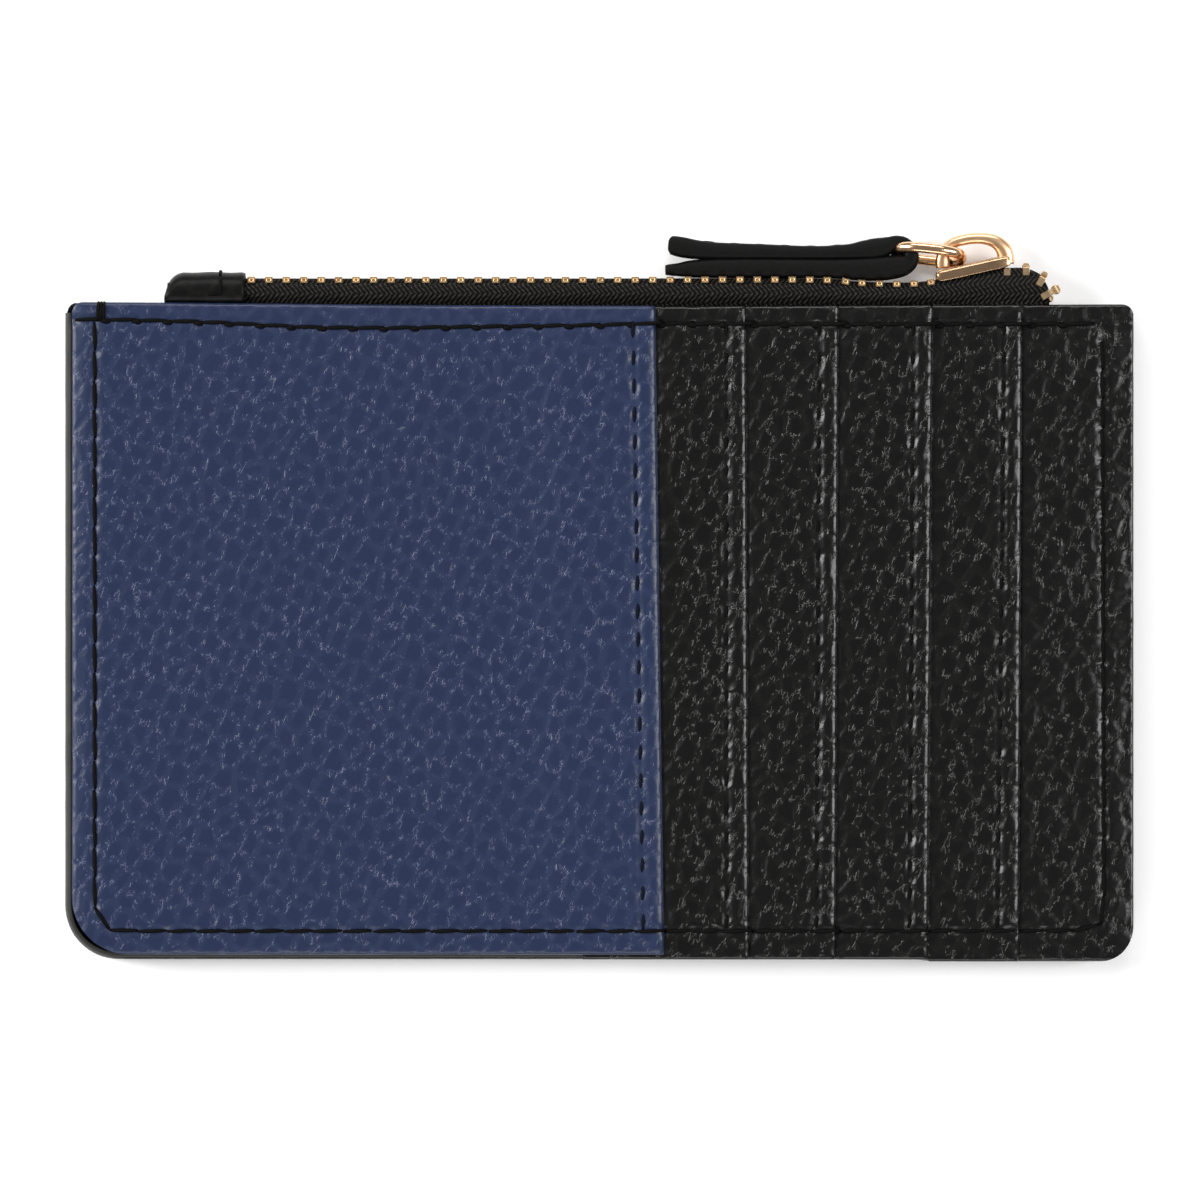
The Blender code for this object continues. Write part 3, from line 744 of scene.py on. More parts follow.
def strip_top(number, x, y):
    """The upper surface of strip 1 to 4: hidden on the left, and rising to its turned edge."""
    before, edge = turned_edge(number - 1, y), turned_edge(number, y)
    share = ramp(x - before, edge - before)
    last = number == len(STRIP_BOXES)
    low = STRIP_UNDER + (0.14 if last else 0.34)
    high = STRIP_UNDER + (0.56 if last else 1.06)
    shown = low + (high - low) * share**0.6
    shown = shown + undulation(x, y, 10 + number, 9.0, 0.12) + undulation(x, y, 20 + number, 4.0, 0.05)
    uncovered = ramp(x - before + 0.9, 0.8)
    z = STRIP_HIDDEN + (shown - STRIP_HIDDEN) * uncovered
    z = z + fold_bulge(x, y, number, 0.12) - perimeter_grooves(x, y) * uncovered - margins(x, y, 0.25)
    z = z - roll_off(edge - x, 0.52) - roll_off(top_line(x) - STRIP_TOP_GAP - y, 0.3)
    return z - roll_off(y - bottom_line(x), 0.35)


def bottom_line(x):
    """The black leather's lower edge, a little lower under the last strips."""
    return BOTTOM + BLACK_FOOT_GAP - SAG * np.clip((x - SAG_X) / 0.25 + 0.5, 0, 1)


def base_top(x, y):
    edge = turned_edge(4, y)
    shown = BASE_VISIBLE - 0.06 * ramp(x - edge, 14.0)
    shown = shown + undulation(x, y, 31, 11.0, 0.14) + undulation(x, y, 32, 4.5, 0.05)
    shown = shown - perimeter_grooves(x, y) - margins(x, y, 0.14)
    hidden = BASE_HIGH.z - 0.02 + (STRIP_UNDER - 0.03 - BASE_HIGH.z) * ramp(y - FOLD_TOP, 0.3)
    z = hidden + (shown - hidden) * ramp(x - edge + 0.9, 0.8)
    outer = np.where(x > 0, roll_off(RIGHT - BASE_SIDE_GAP - x, 0.3), 0.0)
    upper = np.where(x > edge, roll_off(top_line(x) - BASE_TOP_GAP - y, 0.35), 0.0)
    return z - outer - roll_off(y - bottom_line(x), 0.45) - upper


def front_height(x, y):
    """Height of whichever leather shows at a place."""
    x, y = np.asarray(x, float), np.asarray(y, float)
    z = np.where(x < turned_edge(0, y), blue_top(x, y), base_top(x, y))
    for number in (4, 3, 2, 1):
        inside = (x >= turned_edge(number - 1, y)) & (x < turned_edge(number, y))
        z = np.where(inside, strip_top(number, x, y), z)
    return z


# ---------------------------------------------------------------- leather pieces


def make_blue_panel(material, step):
    """The blue leather, which rises on its right to cover the first strip."""
    low, high = BOTTOM + BOTTOM_INSET, TOP - BLUE_TOP_GAP
    ys = spaced(low, high, step)

    def left(y):
        return LEFT + LEFT_INSET + corner_inset(y, low, high, BOTTOM_LEFT_RADIUS + 0.6, TOP_RADIUS)

    def under(x, y):
        return np.where(x > STRIPS_LEFT - 0.6, BLUE_LOW.z + 0.56, BLUE_LOW.z + 0.02)

    sheet_solid(
        "blue_leather_panel", left, lambda y: turned_edge(0, y), ys, blue_top, under, step, material,
        "blue_leather", ("blue_panel",),
    )


def make_strip(number, material, step):
    """One slot strip: straight at its hidden left side, and turned under at its right edge."""
    box_low = STRIP_BOXES[number - 1][0]
    ys = spaced(BOTTOM + BLACK_FOOT_GAP, TOP - STRIP_TOP_GAP, step)
    next_left = STRIP_BOXES[number][0].x if number < len(STRIP_BOXES) else RIGHT

    def under(x, y):
        return np.where(x > next_left - 0.5, STRIP_UNDER + 0.53, STRIP_UNDER + 0.02)

    sheet_solid(
        f"slot_strip_leather_{number}", lambda y: box_low.x, lambda y: turned_edge(number, y), ys,
        lambda x, y: strip_top(number, x, y), under, step, material, "black_leather",
        (f"slot_strip_{number}",), bottom_line,
    )


def make_base_panel(material, step):
    """The black leather under all the strips, which shows beyond the last one."""
    low, high = BOTTOM + BLACK_FOOT_GAP, TOP - BASE_TOP_GAP

    def right(y):
        return RIGHT - BASE_SIDE_GAP - corner_inset(y, low, high, BOTTOM_RIGHT_RADIUS, TOP_RADIUS)

    def left(y):
        return LEFT + 1.0 + corner_inset(y, low, high, BOTTOM_LEFT_RADIUS, TOP_RADIUS)

    def under(x, y):
        return BASE_LOW.z + (0.04 - 0.4) * ramp(y - FOLD_TOP - 0.3, 0.3)

    sheet_solid(
        "base_leather_panel", left, right, spaced(low, high, step), base_top, under, step,
        material, "black_leather", ("front_base_panel",), bottom_line, EDGE_PLACES[-1] - 1.6,
    )


def make_back_panel(material, step):
    """The back leather, with a turned top edge; its outer side faces down."""

    def left(y):
        return LEFT + BACK_GAP + corner_inset(y, BOTTOM, TOP, BOTTOM_LEFT_RADIUS, TOP_RADIUS)

    def right(y):
        return RIGHT - BACK_GAP - corner_inset(y, BOTTOM, TOP, BOTTOM_RIGHT_RADIUS, TOP_RADIUS)

    def outer(x, y):
        beside = np.minimum(x - LEFT - BACK_GAP, RIGHT - BACK_GAP - x)
        across = np.minimum(beside, np.minimum(y - BOTTOM, TOP - y))
        z = 0.12 + undulation(x, y, 41, 16.0, 0.08) + perimeter_grooves(x, y) * 0.8
        return np.maximum(z + roll_off(across, 0.5), 0.0)

    def inner(x, y):
        return BACK_HIGH.z + 0.6 * ramp(y - FOLD_TOP, 0.3)

    sheet_solid(
        "back_leather_panel", left, right, spaced(BOTTOM, TOP - BACK_GAP, step), inner, outer, step,
        material, "black_leather", ("back_panel",),
    )


def make_painted_edge(material):
    """The painted side of the stacked plies: down the left, along the bottom, up the right."""
    path = []
    straight = 24
    low_left, low_right = BOTTOM_LEFT_RADIUS, BOTTOM_RIGHT_RADIUS
    top = TOP - TOP_RADIUS
    for i in range(straight):
        path.append((LEFT, top + (BOTTOM + low_left - top) * i / straight, -1.0, 0.0))
    for i in range(17):
        angle = math.pi + math.pi / 2 * i / 16
        out = (math.cos(angle), math.sin(angle))
        path.append((LEFT + low_left + low_left * out[0], BOTTOM + low_left + low_left * out[1], *out))
    for i in range(1, 2 * straight):
        x = LEFT + low_left + (RIGHT - low_right - LEFT - low_left) * i / (2 * straight)
        sag = SAG * ramp(x - SAG_X + 0.25, 0.5)
        path.append((x, BOTTOM - sag, 0.0, -1.0))
    for i in range(17):
        angle = math.pi * 1.5 + math.pi / 2 * i / 16
        out = (math.cos(angle), math.sin(angle))
        sag = SAG * -out[1]
        corner_x, corner_y = RIGHT - low_right, BOTTOM + low_right
        path.append((corner_x + low_right * out[0], corner_y + low_right * out[1] - sag, *out))
    for i in range(1, straight + 1):
        y = BOTTOM + low_right + (top - BOTTOM - low_right) * i / straight
        path.append((RIGHT, y, 1.0, 0.0))
    rings = []
    for x, y, out_x, out_y in path:
        lower_side = ramp(x - turned_edge(4, y), 2.0)
        under_strips = ramp(x - STRIPS_LEFT + 1.0, 1.0)
        if y > BOTTOM + low_left:
            under_strips = 0.0
        roof = BAND_HIGH.z + 0.05 - max(0.75 * lower_side, 0.12 * under_strips)
        low = BAND_LOW.z - 0.55
        wave = 0.012 * math.sin(x * 0.5 + y * 0.7) + 0.008 * math.sin(x * 1.3 - y * 1.1)
        ring = []
        for k in range(9):
            share = k / 8
            bulge = 0.62 * (1 - abs(2 * share - 1) ** 3.0) - 0.62 + wave * math.sin(share * math.pi)
            z = low + (roof - low) * share
            ring.append((x + out_x * bulge, y + out_y * bulge, z))
        ring.append((x - out_x * 0.9, y - out_y * 0.9, roof))
        ring.append((x - out_x * 0.9, y - out_y * 0.9, BAND_LOW.z))
        ring.append((x - out_x * 0.75, y - out_y * 0.75, BAND_LOW.z - 0.02))
        rings.append(ring)
    add_piece("painted_edge_band", *skin(rings), material, CASE, "edge_paint", ("edge_band",))


# ---------------------------------------------------------------- stitching

THREAD_RADIUS = 0.22
BACK_STITCH_HEIGHT = 0.30


def tube_ring(centre, along, radius, sides=8):
    """A ring of points round a direction."""
    along = along.normalized()
    guide = Vector((0, 0, 1)) if abs(along.z) < 0.9 else Vector((0, 1, 0))
    side = along.cross(guide).normalized()
    up = side.cross(along).normalized()
    turn = math.tau / sides
    ring = []
    for k in range(sides):
        out = side * math.cos(k * turn) + up * math.sin(k * turn)
        ring.append(tuple(centre + out * radius))
    return ring


def one_stitch(start, end, up, radius=THREAD_RADIUS, proud=0.18):
    """A thread that comes out of one needle hole, lies proud, and goes into the next."""
    rings = []
    start, end, up = Vector(start), Vector(end), Vector(up)
    steps = 8
    places = []
    for i in range(steps + 1):
        share = i / steps
        arch = math.sin(share * math.pi) ** 0.45
        places.append(start.lerp(end, share) + up * (arch * (proud + 0.24) - 0.24))
    for i, place in enumerate(places):
        along = places[min(i + 1, steps)] - places[max(i - 1, 0)]
        thick = radius * (0.75 + 0.25 * math.sin(i / steps * math.pi))
        rings.append(tube_ring(place, along, thick))
    return skin(rings)


def stitched(holes, height, up, radius=THREAD_RADIUS, proud=0.18, gap=0.10, skew=0.07):
    """A stitch between each needle hole and the next, lying at a slight slant."""
    parts = []
    for one, two in zip(holes, holes[1:]):
        one, two = Vector(one), Vector(two)
        along = (two - one).normalized()
        lean = Vector((-along.y, along.x)) * skew
        one, two = one + along * gap - lean, two - along * gap + lean
        middle = (one + two) / 2
        z = float(height(middle.x, middle.y))
        parts.append(one_stitch((*one, z), (*two, z), up, radius, proud))
    return parts


def slits(holes, height, length, radius):
    """The short part of each stitch that shows where it dips into its needle hole."""
    parts = []
    for x, y in holes:
        z = float(height(x, y))
        ends = (x - 0.05, y - length / 2, z), (x + 0.05, y + length / 2, z)
        middle = float(height(x, y + length / 2)) - z
        parts.append(one_stitch(*ends, (0, 0, 1), radius, max(middle, 0.0) + 0.05))
    return parts


def make_stitching(black, blue):
    """The thread of every seam, on the front and through to the back."""
    up = (0, 0, 1)
    outline = stitched(OUTLINE_HOLES, front_height, up, 0.24, 0.16)
    z = float(front_height(-SIDE_SEAM_X + 0.8, TOP_SEAM_Y))
    for x in (-60.95, -60.6, -60.25):
        ends = (x, float(top_seam(x)) - 0.2, z), (x + 0.1, TOP - 0.12, z - 0.12)
        outline.append(one_stitch(*ends, up, 0.22, 0.22))
    add_piece("outline_stitching", *join_parts(outline), black, CASE, "black_thread", ("outline_thread",))
    top = stitched(TOP_HOLES, front_height, up, 0.25, 0.10, 0.02)
    for x, y in TOP_HOLES[1:-1]:
        z = float(front_height(x, y - 0.7))
        top.append(one_stitch((x - 0.5, y - 0.12, z), (x + 0.45, y - 0.26, z), up, 0.30, 0.03))
    add_piece("top_seam_stitching", *join_parts(top), black, CASE, "black_thread", ("top_seam_thread",))
    for number in range(5):
        run = slits(strip_holes(number), front_height, 2.0 if number else 2.5, 0.20)
        name = f"strip_stitching_{number}" if number else "blue_edge_stitching"
        node = f"strip_thread_{number}" if number else "blue_edge_thread"
        thread, slot = (black, "black_thread") if number else (blue, "blue_thread")
        add_piece(name, *join_parts(run), thread, CASE, slot, (node,))

    down = (0, 0, -1)
    back = []
    for holes in (OUTLINE_HOLES, TOP_HOLES[1:-1]):
        back += stitched(holes, lambda x, y: BACK_STITCH_HEIGHT, down)
    add_piece("back_stitching", *join_parts(back), black, CASE, "black_thread")


# ---------------------------------------------------------------- zip

TOOTH_PITCH = 2.12
FIRST_TOOTH_X = -42.3
CHAIN_Y = 42.0
# Rings of a tooth, from its outer face inwards: reach, half length, half height and lift
TOOTH_RINGS = (
    (2.88, 0.20, 0.15, 0.60), (3.02, 0.27, 0.20, 0.60), (3.02, 0.42, 0.345, 0.59),
    (2.95, 0.465, 0.39, 0.59), (2.35, 0.465, 0.39, 0.59), (2.20, 0.465, 0.93, 0.0),
    (1.30, 0.465, 0.93, 0.0), (1.10, 0.41, 0.78, 0.0), (0.45, 0.37, 0.42, 0.0),
    (0.05, 0.41, 0.42, 0.0), (-0.35, 0.42, 0.42, 0.0), (-0.50, 0.34, 0.34, 0.0),
)
# The free teeth past the slider: leg's place, turn from upright, leg's length, head's reach and radius
FREE_TEETH = (
    (49.52, 43.52, 0.0, 0.86, 0.0, 0.0), (51.82, 43.62, 0.0, 1.0, 0.62, 0.48),
    (53.60, 42.38, -28.0, 1.15, 0.98, 0.44), (54.22, 40.74, -61.0, 1.15, 1.42, 0.60),
)
TEETH = 43
BACK_TEETH_SAG = 0.16
# The tape: half its thickness, its right end, and the heights between which it starts to follow the chain
TAPE_HALF = 0.17
TAPE_RIGHT = 54.92
TAPE_FOOT = 39.3
TAPE_TOP = 42.1
CORD_REACH = 1.72
CORD_RISE = 0.14
CORD_RADIUS = 0.66


def smooth_path(points, per_span=6):
    """A Catmull-Rom curve through points."""
    points = [Vector(p) for p in points]
    ends = [points[0] * 2 - points[1]] + points + [points[-1] * 2 - points[-2]]
    result = []
    for i in range(1, len(ends) - 2):
        a, b, c, d = ends[i - 1 : i + 3]
        for k in range(per_span):
            t = k / per_span
            bent = b * 2 + (c - a) * t + (a * 2 - b * 5 + c * 4 - d) * t**2
            result.append((bent + (b * 3 - a - c * 3 + d) * t**3) / 2)
    return result + [points[-1]]


def chain_line():
    """The teeth's centre line: straight, a slight dip, and up through the slider."""
    straight = [(FIRST_TOOTH_X - 1, CHAIN_Y), (0.0, CHAIN_Y), (26.0, CHAIN_Y)]
    dip = [(31.0, CHAIN_Y - 0.35), (37.0, CHAIN_Y - 0.5), (SLIDER_LEFT - 0.4, CHAIN_Y - 0.25)]
    climb = [(SLIDER_LEFT + 4.6, CHAIN_Y + 0.5), (SLIDER_LEFT + 8.4, CHAIN_Y + 1.1)]
    return smooth_path(straight + dip + climb)


def one_tooth(centre, along, up, out, sag=0.0, first=0):
    """A tooth: legs round the tape at its outer end, a waist, and a head; sag lowers its outer end."""
    rings = []
    for reach, half_along, half_up, lift in TOOTH_RINGS[first:]:
        drop = up * (sag * (reach + 2.26) - lift * (0.0 if sag else 1.0))
        middle = centre - drop + out * reach
        square = cut_square(0.86)
        rings.append([tuple(middle + along * (a * half_along) + up * (b * half_up)) for a, b in square])
    return skin(rings)


def free_tooth(foot, turn, leg, reach, radius):
    """A tooth past the slider, seen from its side: a leg on the tape, a neck and a rounded head."""
    turn = math.radians(turn)
    up = Vector((-math.sin(turn), math.cos(turn), 0))
    across = Vector((up.y, -up.x, 0))
    end = leg / 2
    outlines = [(-end, 0.38, 0.88), (-end + 0.07, 0.44, 0.95), (end - 0.07, 0.44, 0.95), (end, 0.38, 0.86)]
    if radius:
        outlines.append((end + 0.06, 0.28, 0.5))
        for degrees in (-50, -25, 0, 25, 50, 75):
            angle = math.radians(degrees)
            half = radius * math.cos(angle)
            outlines.append((reach + radius * math.sin(angle), half, half))
    rings = []
    for along, half, deep in outlines:
        ring = []
        for a, b in cut_square(0.85):
            place = Vector(foot) + up * along + across * (a * half)
            ring.append((place.x, place.y, place.z + b * deep))
        rings.append(ring)
    return skin(rings)


def make_teeth(material):
    """Two rows of teeth, set half a pitch apart, with the free ones past the slider."""
    line = chain_line()
    for side, name in ((1, "front"), (-1, "back")):
        out = Vector((0, 0, side))
        parts = []
        half_step = 0.0 if side > 0 else TOOTH_PITCH / 2
        sag = 0.0 if side > 0 else BACK_TEETH_SAG
        for number in range(TEETH):
            place, along = along_line(line, 1 + number * TOOTH_PITCH + half_step)
            centre = Vector((place.x, place.y, ZIP_Z))
            along = Vector((along.x, along.y, 0))
            up = Vector((-along.y, along.x, 0))
            covered = place.x > SLIDER_LEFT - 0.3
            parts.append(one_tooth(centre, along, up, out, sag, 5 if covered or sag else 0))
        for x, y, turn, leg, reach, radius in FREE_TEETH:
            lower = 0.0 if side > 0 else 0.9
            place = (x - lower * 0.8, y - lower, ZIP_Z + side * 2.35)
            parts.append(free_tooth(place, turn, leg, reach, radius))
        node = f"zip_teeth_{name}"
        add_piece(f"{node}_row", *join_parts(parts), material, CASE, "gold_metal", (node,), flat=True)


def tape_rise(x):
    """How far the tape's upper edge stands above its straight height."""
    chain = (TAPE_LEFT, 0.0), (26.0, 0.0), (31.0, -0.35), (37.0, -0.5)
    slider = (SLIDER_LEFT, -0.1), (SLIDER_LEFT + 8.0, 1.75)
    end = (51.0, 1.85), (52.4, 1.62), (53.5, 1.1), (54.16, 0.15), (54.58, -0.7), (54.9, -1.7)
    return float(np.interp(x, *zip(*chain, *slider, *end)))


def make_tapes(material):
    """The two tapes, each with its cord under the teeth."""
    profile = smooth_path([
        (34.0, 0.95), (38.6, 0.95), (39.5, 1.15), (40.2, 1.9), (40.9, 2.55), (41.6, 2.74), (42.02, 2.52),
        (42.1, 2.1), (42.08, 1.45),
    ], 4)
    for side, name in ((1, "front"), (-1, "back")):
        rings = []
        x = TAPE_LEFT
        while x <= TAPE_RIGHT:
            rise = tape_rise(x)
            middle = []
            for y, z in profile:
                lift = rise * ramp(y - TAPE_FOOT, TAPE_TOP - TAPE_FOOT)
                ripple = 0.05 * math.sin(x * 1.7 + 1.0) * ramp(y - 40.0, 1.5)
                middle.append(Vector((y + lift, z + ripple)))
            outer, inner = [], []
            for i, point in enumerate(middle):
                along = (middle[min(i + 1, len(middle) - 1)] - middle[max(i - 1, 0)]).normalized()
                normal = Vector((along.y, -along.x)) * -TAPE_HALF
                outer.append(point + normal)
                inner.append(point - normal)
            ring = outer + inner[::-1]
            rings.append([(x, p.x, ZIP_Z + side * p.y) for p in ring])
            x += 0.55 if x < SLIDER_LEFT else 0.24
        cord = []
        for place in chain_line():
            centre = Vector((place.x, place.y + CORD_RISE, ZIP_Z + side * CORD_REACH))
            cord.append(tube_ring(centre, Vector((1, 0, 0)), CORD_RADIUS, 12))
        tape = join_parts([skin(rings), skin(cord)])
        add_piece(f"twill_tape_{name}", *tape, material, CASE, "zip_tape", (f"zip_tape_{name}",))


# Height at which the end tab starts to bend over the zip
BEND = 40.4


def make_end_tab(leather, thread):
    """The leather tab over the zip's left end, with its stitch."""
    left, right, top = END_LOW.x, END_HIGH.x, END_HIGH.y

    def profile(x, shrink):
        near_left = min((x - left) / 2.6, 1.0)
        crown = BEND + (top - BEND) * math.sqrt(max(1 - (1 - near_left) ** 2, 0.0)) - shrink
        crown += 0.05 * math.sin(x * 1.3)
        wide = 3.28 - shrink
        points = [(39.6, 2.6 - shrink)]
        for k in range(13):
            angle = math.pi / 2 * k / 12
            rise, spread = math.sin(angle) ** 0.62, math.cos(angle) ** 0.62
            points.append((BEND + (crown - BEND) * rise, wide * spread))
        return points + [(y, -z) for y, z in points[::-1][1:]]

    rings = []
    count = 26
    for i in range(count + 1):
        x = left + 0.02 + (right - left - 0.02) * i / count
        outer = profile(x, 0.0 if 0 < i < count else 0.12)
        inner = profile(x, 0.55 if 0 < i < count else 0.45)
        rings.append([(x, y, ZIP_Z + z) for y, z in outer + inner[::-1]])
    add_piece("zip_end_leather_tab", *skin(rings), leather, CASE, "black_leather", ("zip_end_tab",))
    x = (END_STITCH_LOW.x + END_STITCH_HIGH.x) / 2
    parts = []
    for side in (1, -1):
        z = ZIP_Z + side * 3.2
        parts.append(one_stitch((x, 40.5, z), (x + 0.1, top - 0.7, z), (0, 0, side)))
        parts.append(one_stitch((x - 1.5, 40.9, z), (x - 0.3, 40.8, z), (0, 0, side)))
    parts.append(one_stitch((x, top - 0.1, ZIP_Z + 2.6), (x, top - 0.1, ZIP_Z - 2.6), (0, 1, 0)))
    sewn = join_parts(parts)
    add_piece("zip_end_stitching", *sewn, thread, CASE, "black_thread", ("zip_end_tab_thread",))


# ---------------------------------------------------------------- slider, ring and strap

SLIDER_TILT = math.radians(12.5)
SLIDER_TOP_LEFT = Vector((SLIDER_LEFT, 43.68))
FLANGE_INSIDE = 3.07
PLATE_UNDERSIDE = -0.52


def on_slider(along, above):
    """A place on the tilted slider: along it from its left end, and above its upper plate."""
    cos, sin = math.cos(SLIDER_TILT), math.sin(SLIDER_TILT)
    return SLIDER_TOP_LEFT + Vector((along * cos - above * sin, along * sin + above * cos))


def make_slider(material):
    """The upper plate and its two side flanges, narrow at the closed end, and the lower plate."""
    rings = []
    # Along the plate: how far along, half width, and the heights of its roof and of its flanges' feet
    shapes = (
        (0.0, 3.24, -0.35, -1.05), (0.15, 3.32, -0.12, -1.28), (0.6, 3.38, -0.02, -1.40),
        (2.5, 3.40, 0.0, -1.42), (5.0, 3.42, 0.0, -1.42), (7.4, 3.44, 0.0, -1.42),
        (8.6, 3.44, -0.02, -1.38), (9.05, 3.38, -0.12, -1.22), (9.2, 3.30, -0.30, -1.0),
    )
    for along, wide, roof, foot in shapes:
        outer = [(foot, wide), (roof - 0.35, wide + 0.02), (roof - 0.1, wide - 0.12), (roof, wide - 0.45)]
        profile = outer + [(above, -z) for above, z in outer[::-1]]
        inner = [(foot, FLANGE_INSIDE), (PLATE_UNDERSIDE, FLANGE_INSIDE)]
        profile += [(above, -z) for above, z in inner] + inner[::-1]
        ring = []
        for above, z in profile:
            place = on_slider(along, above)
            ring.append((place.x, place.y, ZIP_Z + z))
        rings.append(ring)
    parts = [skin(rings)]
    left, right = SLIDER_LEFT + 1.0, SLIDER_LEFT + 8.6
    lower_plate = [(left, 40.15), (right, 40.15), (right, 40.8), (left, 40.8)]
    post = [(47.4, 40.7), (48.8, 40.7), (48.8, 45.0), (47.4, 44.6)]
    for outline, half in ((lower_plate, 0.9), (post, 0.3)):
        parts.append(skin([[(x, y, ZIP_Z + z) for x, y in outline] for z in (-half, half)]))
    piece = add_piece("zip_slider", *join_parts(parts), material, SLIDER, "gold_metal", ("slider_body",))
    soften(piece, 0.14)


# The bridge's middle line: X, Y and half thickness
CROWN_ROUTE = (
    (41.75, 44.1, 0.88), (41.75, 45.2, 0.85), (42.1, 46.3, 0.74), (43.1, 47.15, 0.68), (44.8, 47.62, 0.68),
    (46.6, 47.70, 0.70), (48.1, 47.35, 0.82), (49.05, 46.55, 0.96), (49.42, 45.6, 1.02), (49.5, 44.6, 0.98),
)


def make_crown(material):
    """The arched bridge: a smooth bar with rounded edges, thickest at its closed end."""
    centre = smooth_path(CROWN_ROUTE)
    count = len(centre) - 1

    def half_wide(i):
        return 1.10 + 0.30 * math.sin(i / count * math.pi)

    bridge = bar(centre, lambda i: centre[i].z, half_wide, 16, 0.55, 0.55)
    add_piece("slider_bridge", *bridge, material, SLIDER, "gold_metal", ("slider_crown",))


WIRE_HALF_WIDE = 0.57
WIRE_HALF_DEEP = 0.64


def make_ring(material):
    """An oval wire ring with slightly flattened faces, its front limb a little higher."""
    right, left = RING_BAR.xy, STRAP_BAR.xy
    middle = (right + left) / 2
    along = (left - right).normalized()
    up = Vector((along.y, -along.x))
    if up.y < 0:
        up = -up
    half_length = (left - right).length / 2
    half_width = (RING_HIGH.z - RING_LOW.z) / 2 - 0.575
    steps = 64
    flat = [Vector((a * half_length, b * half_width)) for a, b in squared_oval(steps, 0.74, 0.74)]
    rings = []
    for i, point in enumerate(flat):
        tangent = (flat[(i + 1) % steps] - flat[i - 1]).normalized()
        out = Vector((tangent.y, -tangent.x))
        lift = 0.65 * point.y / half_width
        ring = []
        for a, b in squared_oval(14, 0.75, 0.8):
            radial = a * WIRE_HALF_WIDE
            place = middle + along * (point.x + out.x * radial) + up * (b * WIRE_HALF_DEEP + lift)
            ring.append((place.x, place.y, ZIP_Z + point.y + out.y * radial))
        rings.append(ring)
    wire = skin(rings, closed=True)
    add_piece("oval_pull_ring", *wire, material, RING, "gold_metal", ("pull_ring",))


# The strap's middle line, from its lower free end round the ring and back: X, Y and thickness
STRAP_ROUTE = (
    (8.0, 43.86, 1.38), (9.5, 43.9, 1.55), (11.3, 44.0, 2.1), (15.0, 44.1, 2.42), (22.0, 44.1, 2.46),
    (28.0, 44.06, 2.45), (32.5, 43.98, 2.9), (35.2, 44.15, 3.0), (37.0, 44.46, 2.6), (37.85, 45.25, 2.1),
    (37.75, 46.4, 1.6), (37.05, 47.2, 1.35), (36.1, 47.45, 1.2), (35.3, 47.0, 2.0), (34.5, 46.62, 2.45),
    (33.2, 46.42, 2.5), (31.8, 46.25, 2.2), (30.0, 46.05, 1.85), (26.0, 45.94, 1.66), (20.0, 46.05, 1.9),
    (14.5, 46.15, 2.1), (12.0, 46.32, 2.3), (10.2, 46.6, 2.5), (9.0, 46.84, 2.35), (8.35, 46.9, 2.05),
)


def make_strap(leather, thread):
    """A leather strap folded round the ring; its two layers part at the free end."""
    points = smooth_path(STRAP_ROUTE)
    half_width = (STRAP_HIGH.z - STRAP_LOW.z) / 2 + 0.1
    count = len(points) - 1

    def half_thick(i):
        end = min(i, count - i)
        softness = 0.18 if i < count / 2 else 0.5
        round_off = min(1.0, 1.0 - softness + softness * math.sqrt(min(end / 4, 1.0)))
        return points[i].z / 2 * round_off

    strap = bar(points, half_thick, lambda i: half_width, 20, 0.5, 0.35)
    add_piece("folded_leather_strap", *strap, leather, TAB, "black_leather", ("pull_tab",))
    parts = []
    surface = sorted((p.x, p.y + p.z / 2) for p in points if p.y > 45.8)
    length, pitch, inset = 2.6, 3.1, 0.75
    for z in (-half_width + inset, half_width - inset):
        x = 12.0
        while x < 31.0:
            y, far_y = (float(np.interp(at, *zip(*surface))) - 0.14 for at in (x, x + length))
            ends = (x, y, ZIP_Z + z), (x + length, far_y, ZIP_Z + z)
            parts.append(one_stitch(*ends, (0, 1, 0), 0.16, 0.0))
            x += pitch
    add_piece("strap_stitching", *join_parts(parts), thread, TAB, "black_thread", ("pull_tab_thread",))


# ---------------------------------------------------------------- stage


def add_lamp(name, place, size, watts):
    """A white softbox, aimed at the holder's middle."""
    data = bpy.data.lights.new(name, "AREA")
    data.shape = "RECTANGLE"
    data.size, data.size_y = size
    data.energy = watts
    lamp = bpy.data.objects.new(name, data)
    lamp.location = place
    lamp.rotation_euler = (Vector((0, 0, 0)) - lamp.location).to_track_quat("-Z", "Y").to_euler()
    bpy.context.scene.collection.objects.link(lamp)


def make_floor(tint):
    """A wide pale floor just under the leather's lowest point."""
    half = 1.6
    mesh = bpy.data.meshes.new("studio_floor")
    z = min(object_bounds()[0][2], 0.0) - 0.02 * MM
    corners = [(-half, -half, z), (half, -half, z), (half, half, z), (-half, half, z)]
    mesh.from_pydata(corners, [], [(0, 1, 2, 3)])
    tree = Tree("Studio floor")
    glow = {"Emission_Color": tint, "Emission_Strength": 0.22}
    mesh.materials.append(tree.finish(Base_Color=tint, Roughness=0.9, Specular_IOR_Level=0.1, **glow))
    floor = bpy.data.objects.new("studio_floor", mesh)
    bpy.context.scene.collection.objects.link(floor)
    floor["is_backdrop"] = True


def make_camera(distance, field):
    """A long lens straight above the front face, with the zip towards the top of the picture."""
    data = bpy.data.cameras.new("Camera")
    data.sensor_width = 36.0
    data.lens = data.sensor_width * (distance - BLUE_HIGH.z * MM) / (field * MM)
    data.clip_start, data.clip_end = 0.01, 50.0
    camera = bpy.data.objects.new("Camera", data)
    camera.location = (0.06 * MM, 3.70 * MM, distance)
    bpy.context.scene.collection.objects.link(camera)
    bpy.context.scene.camera = camera


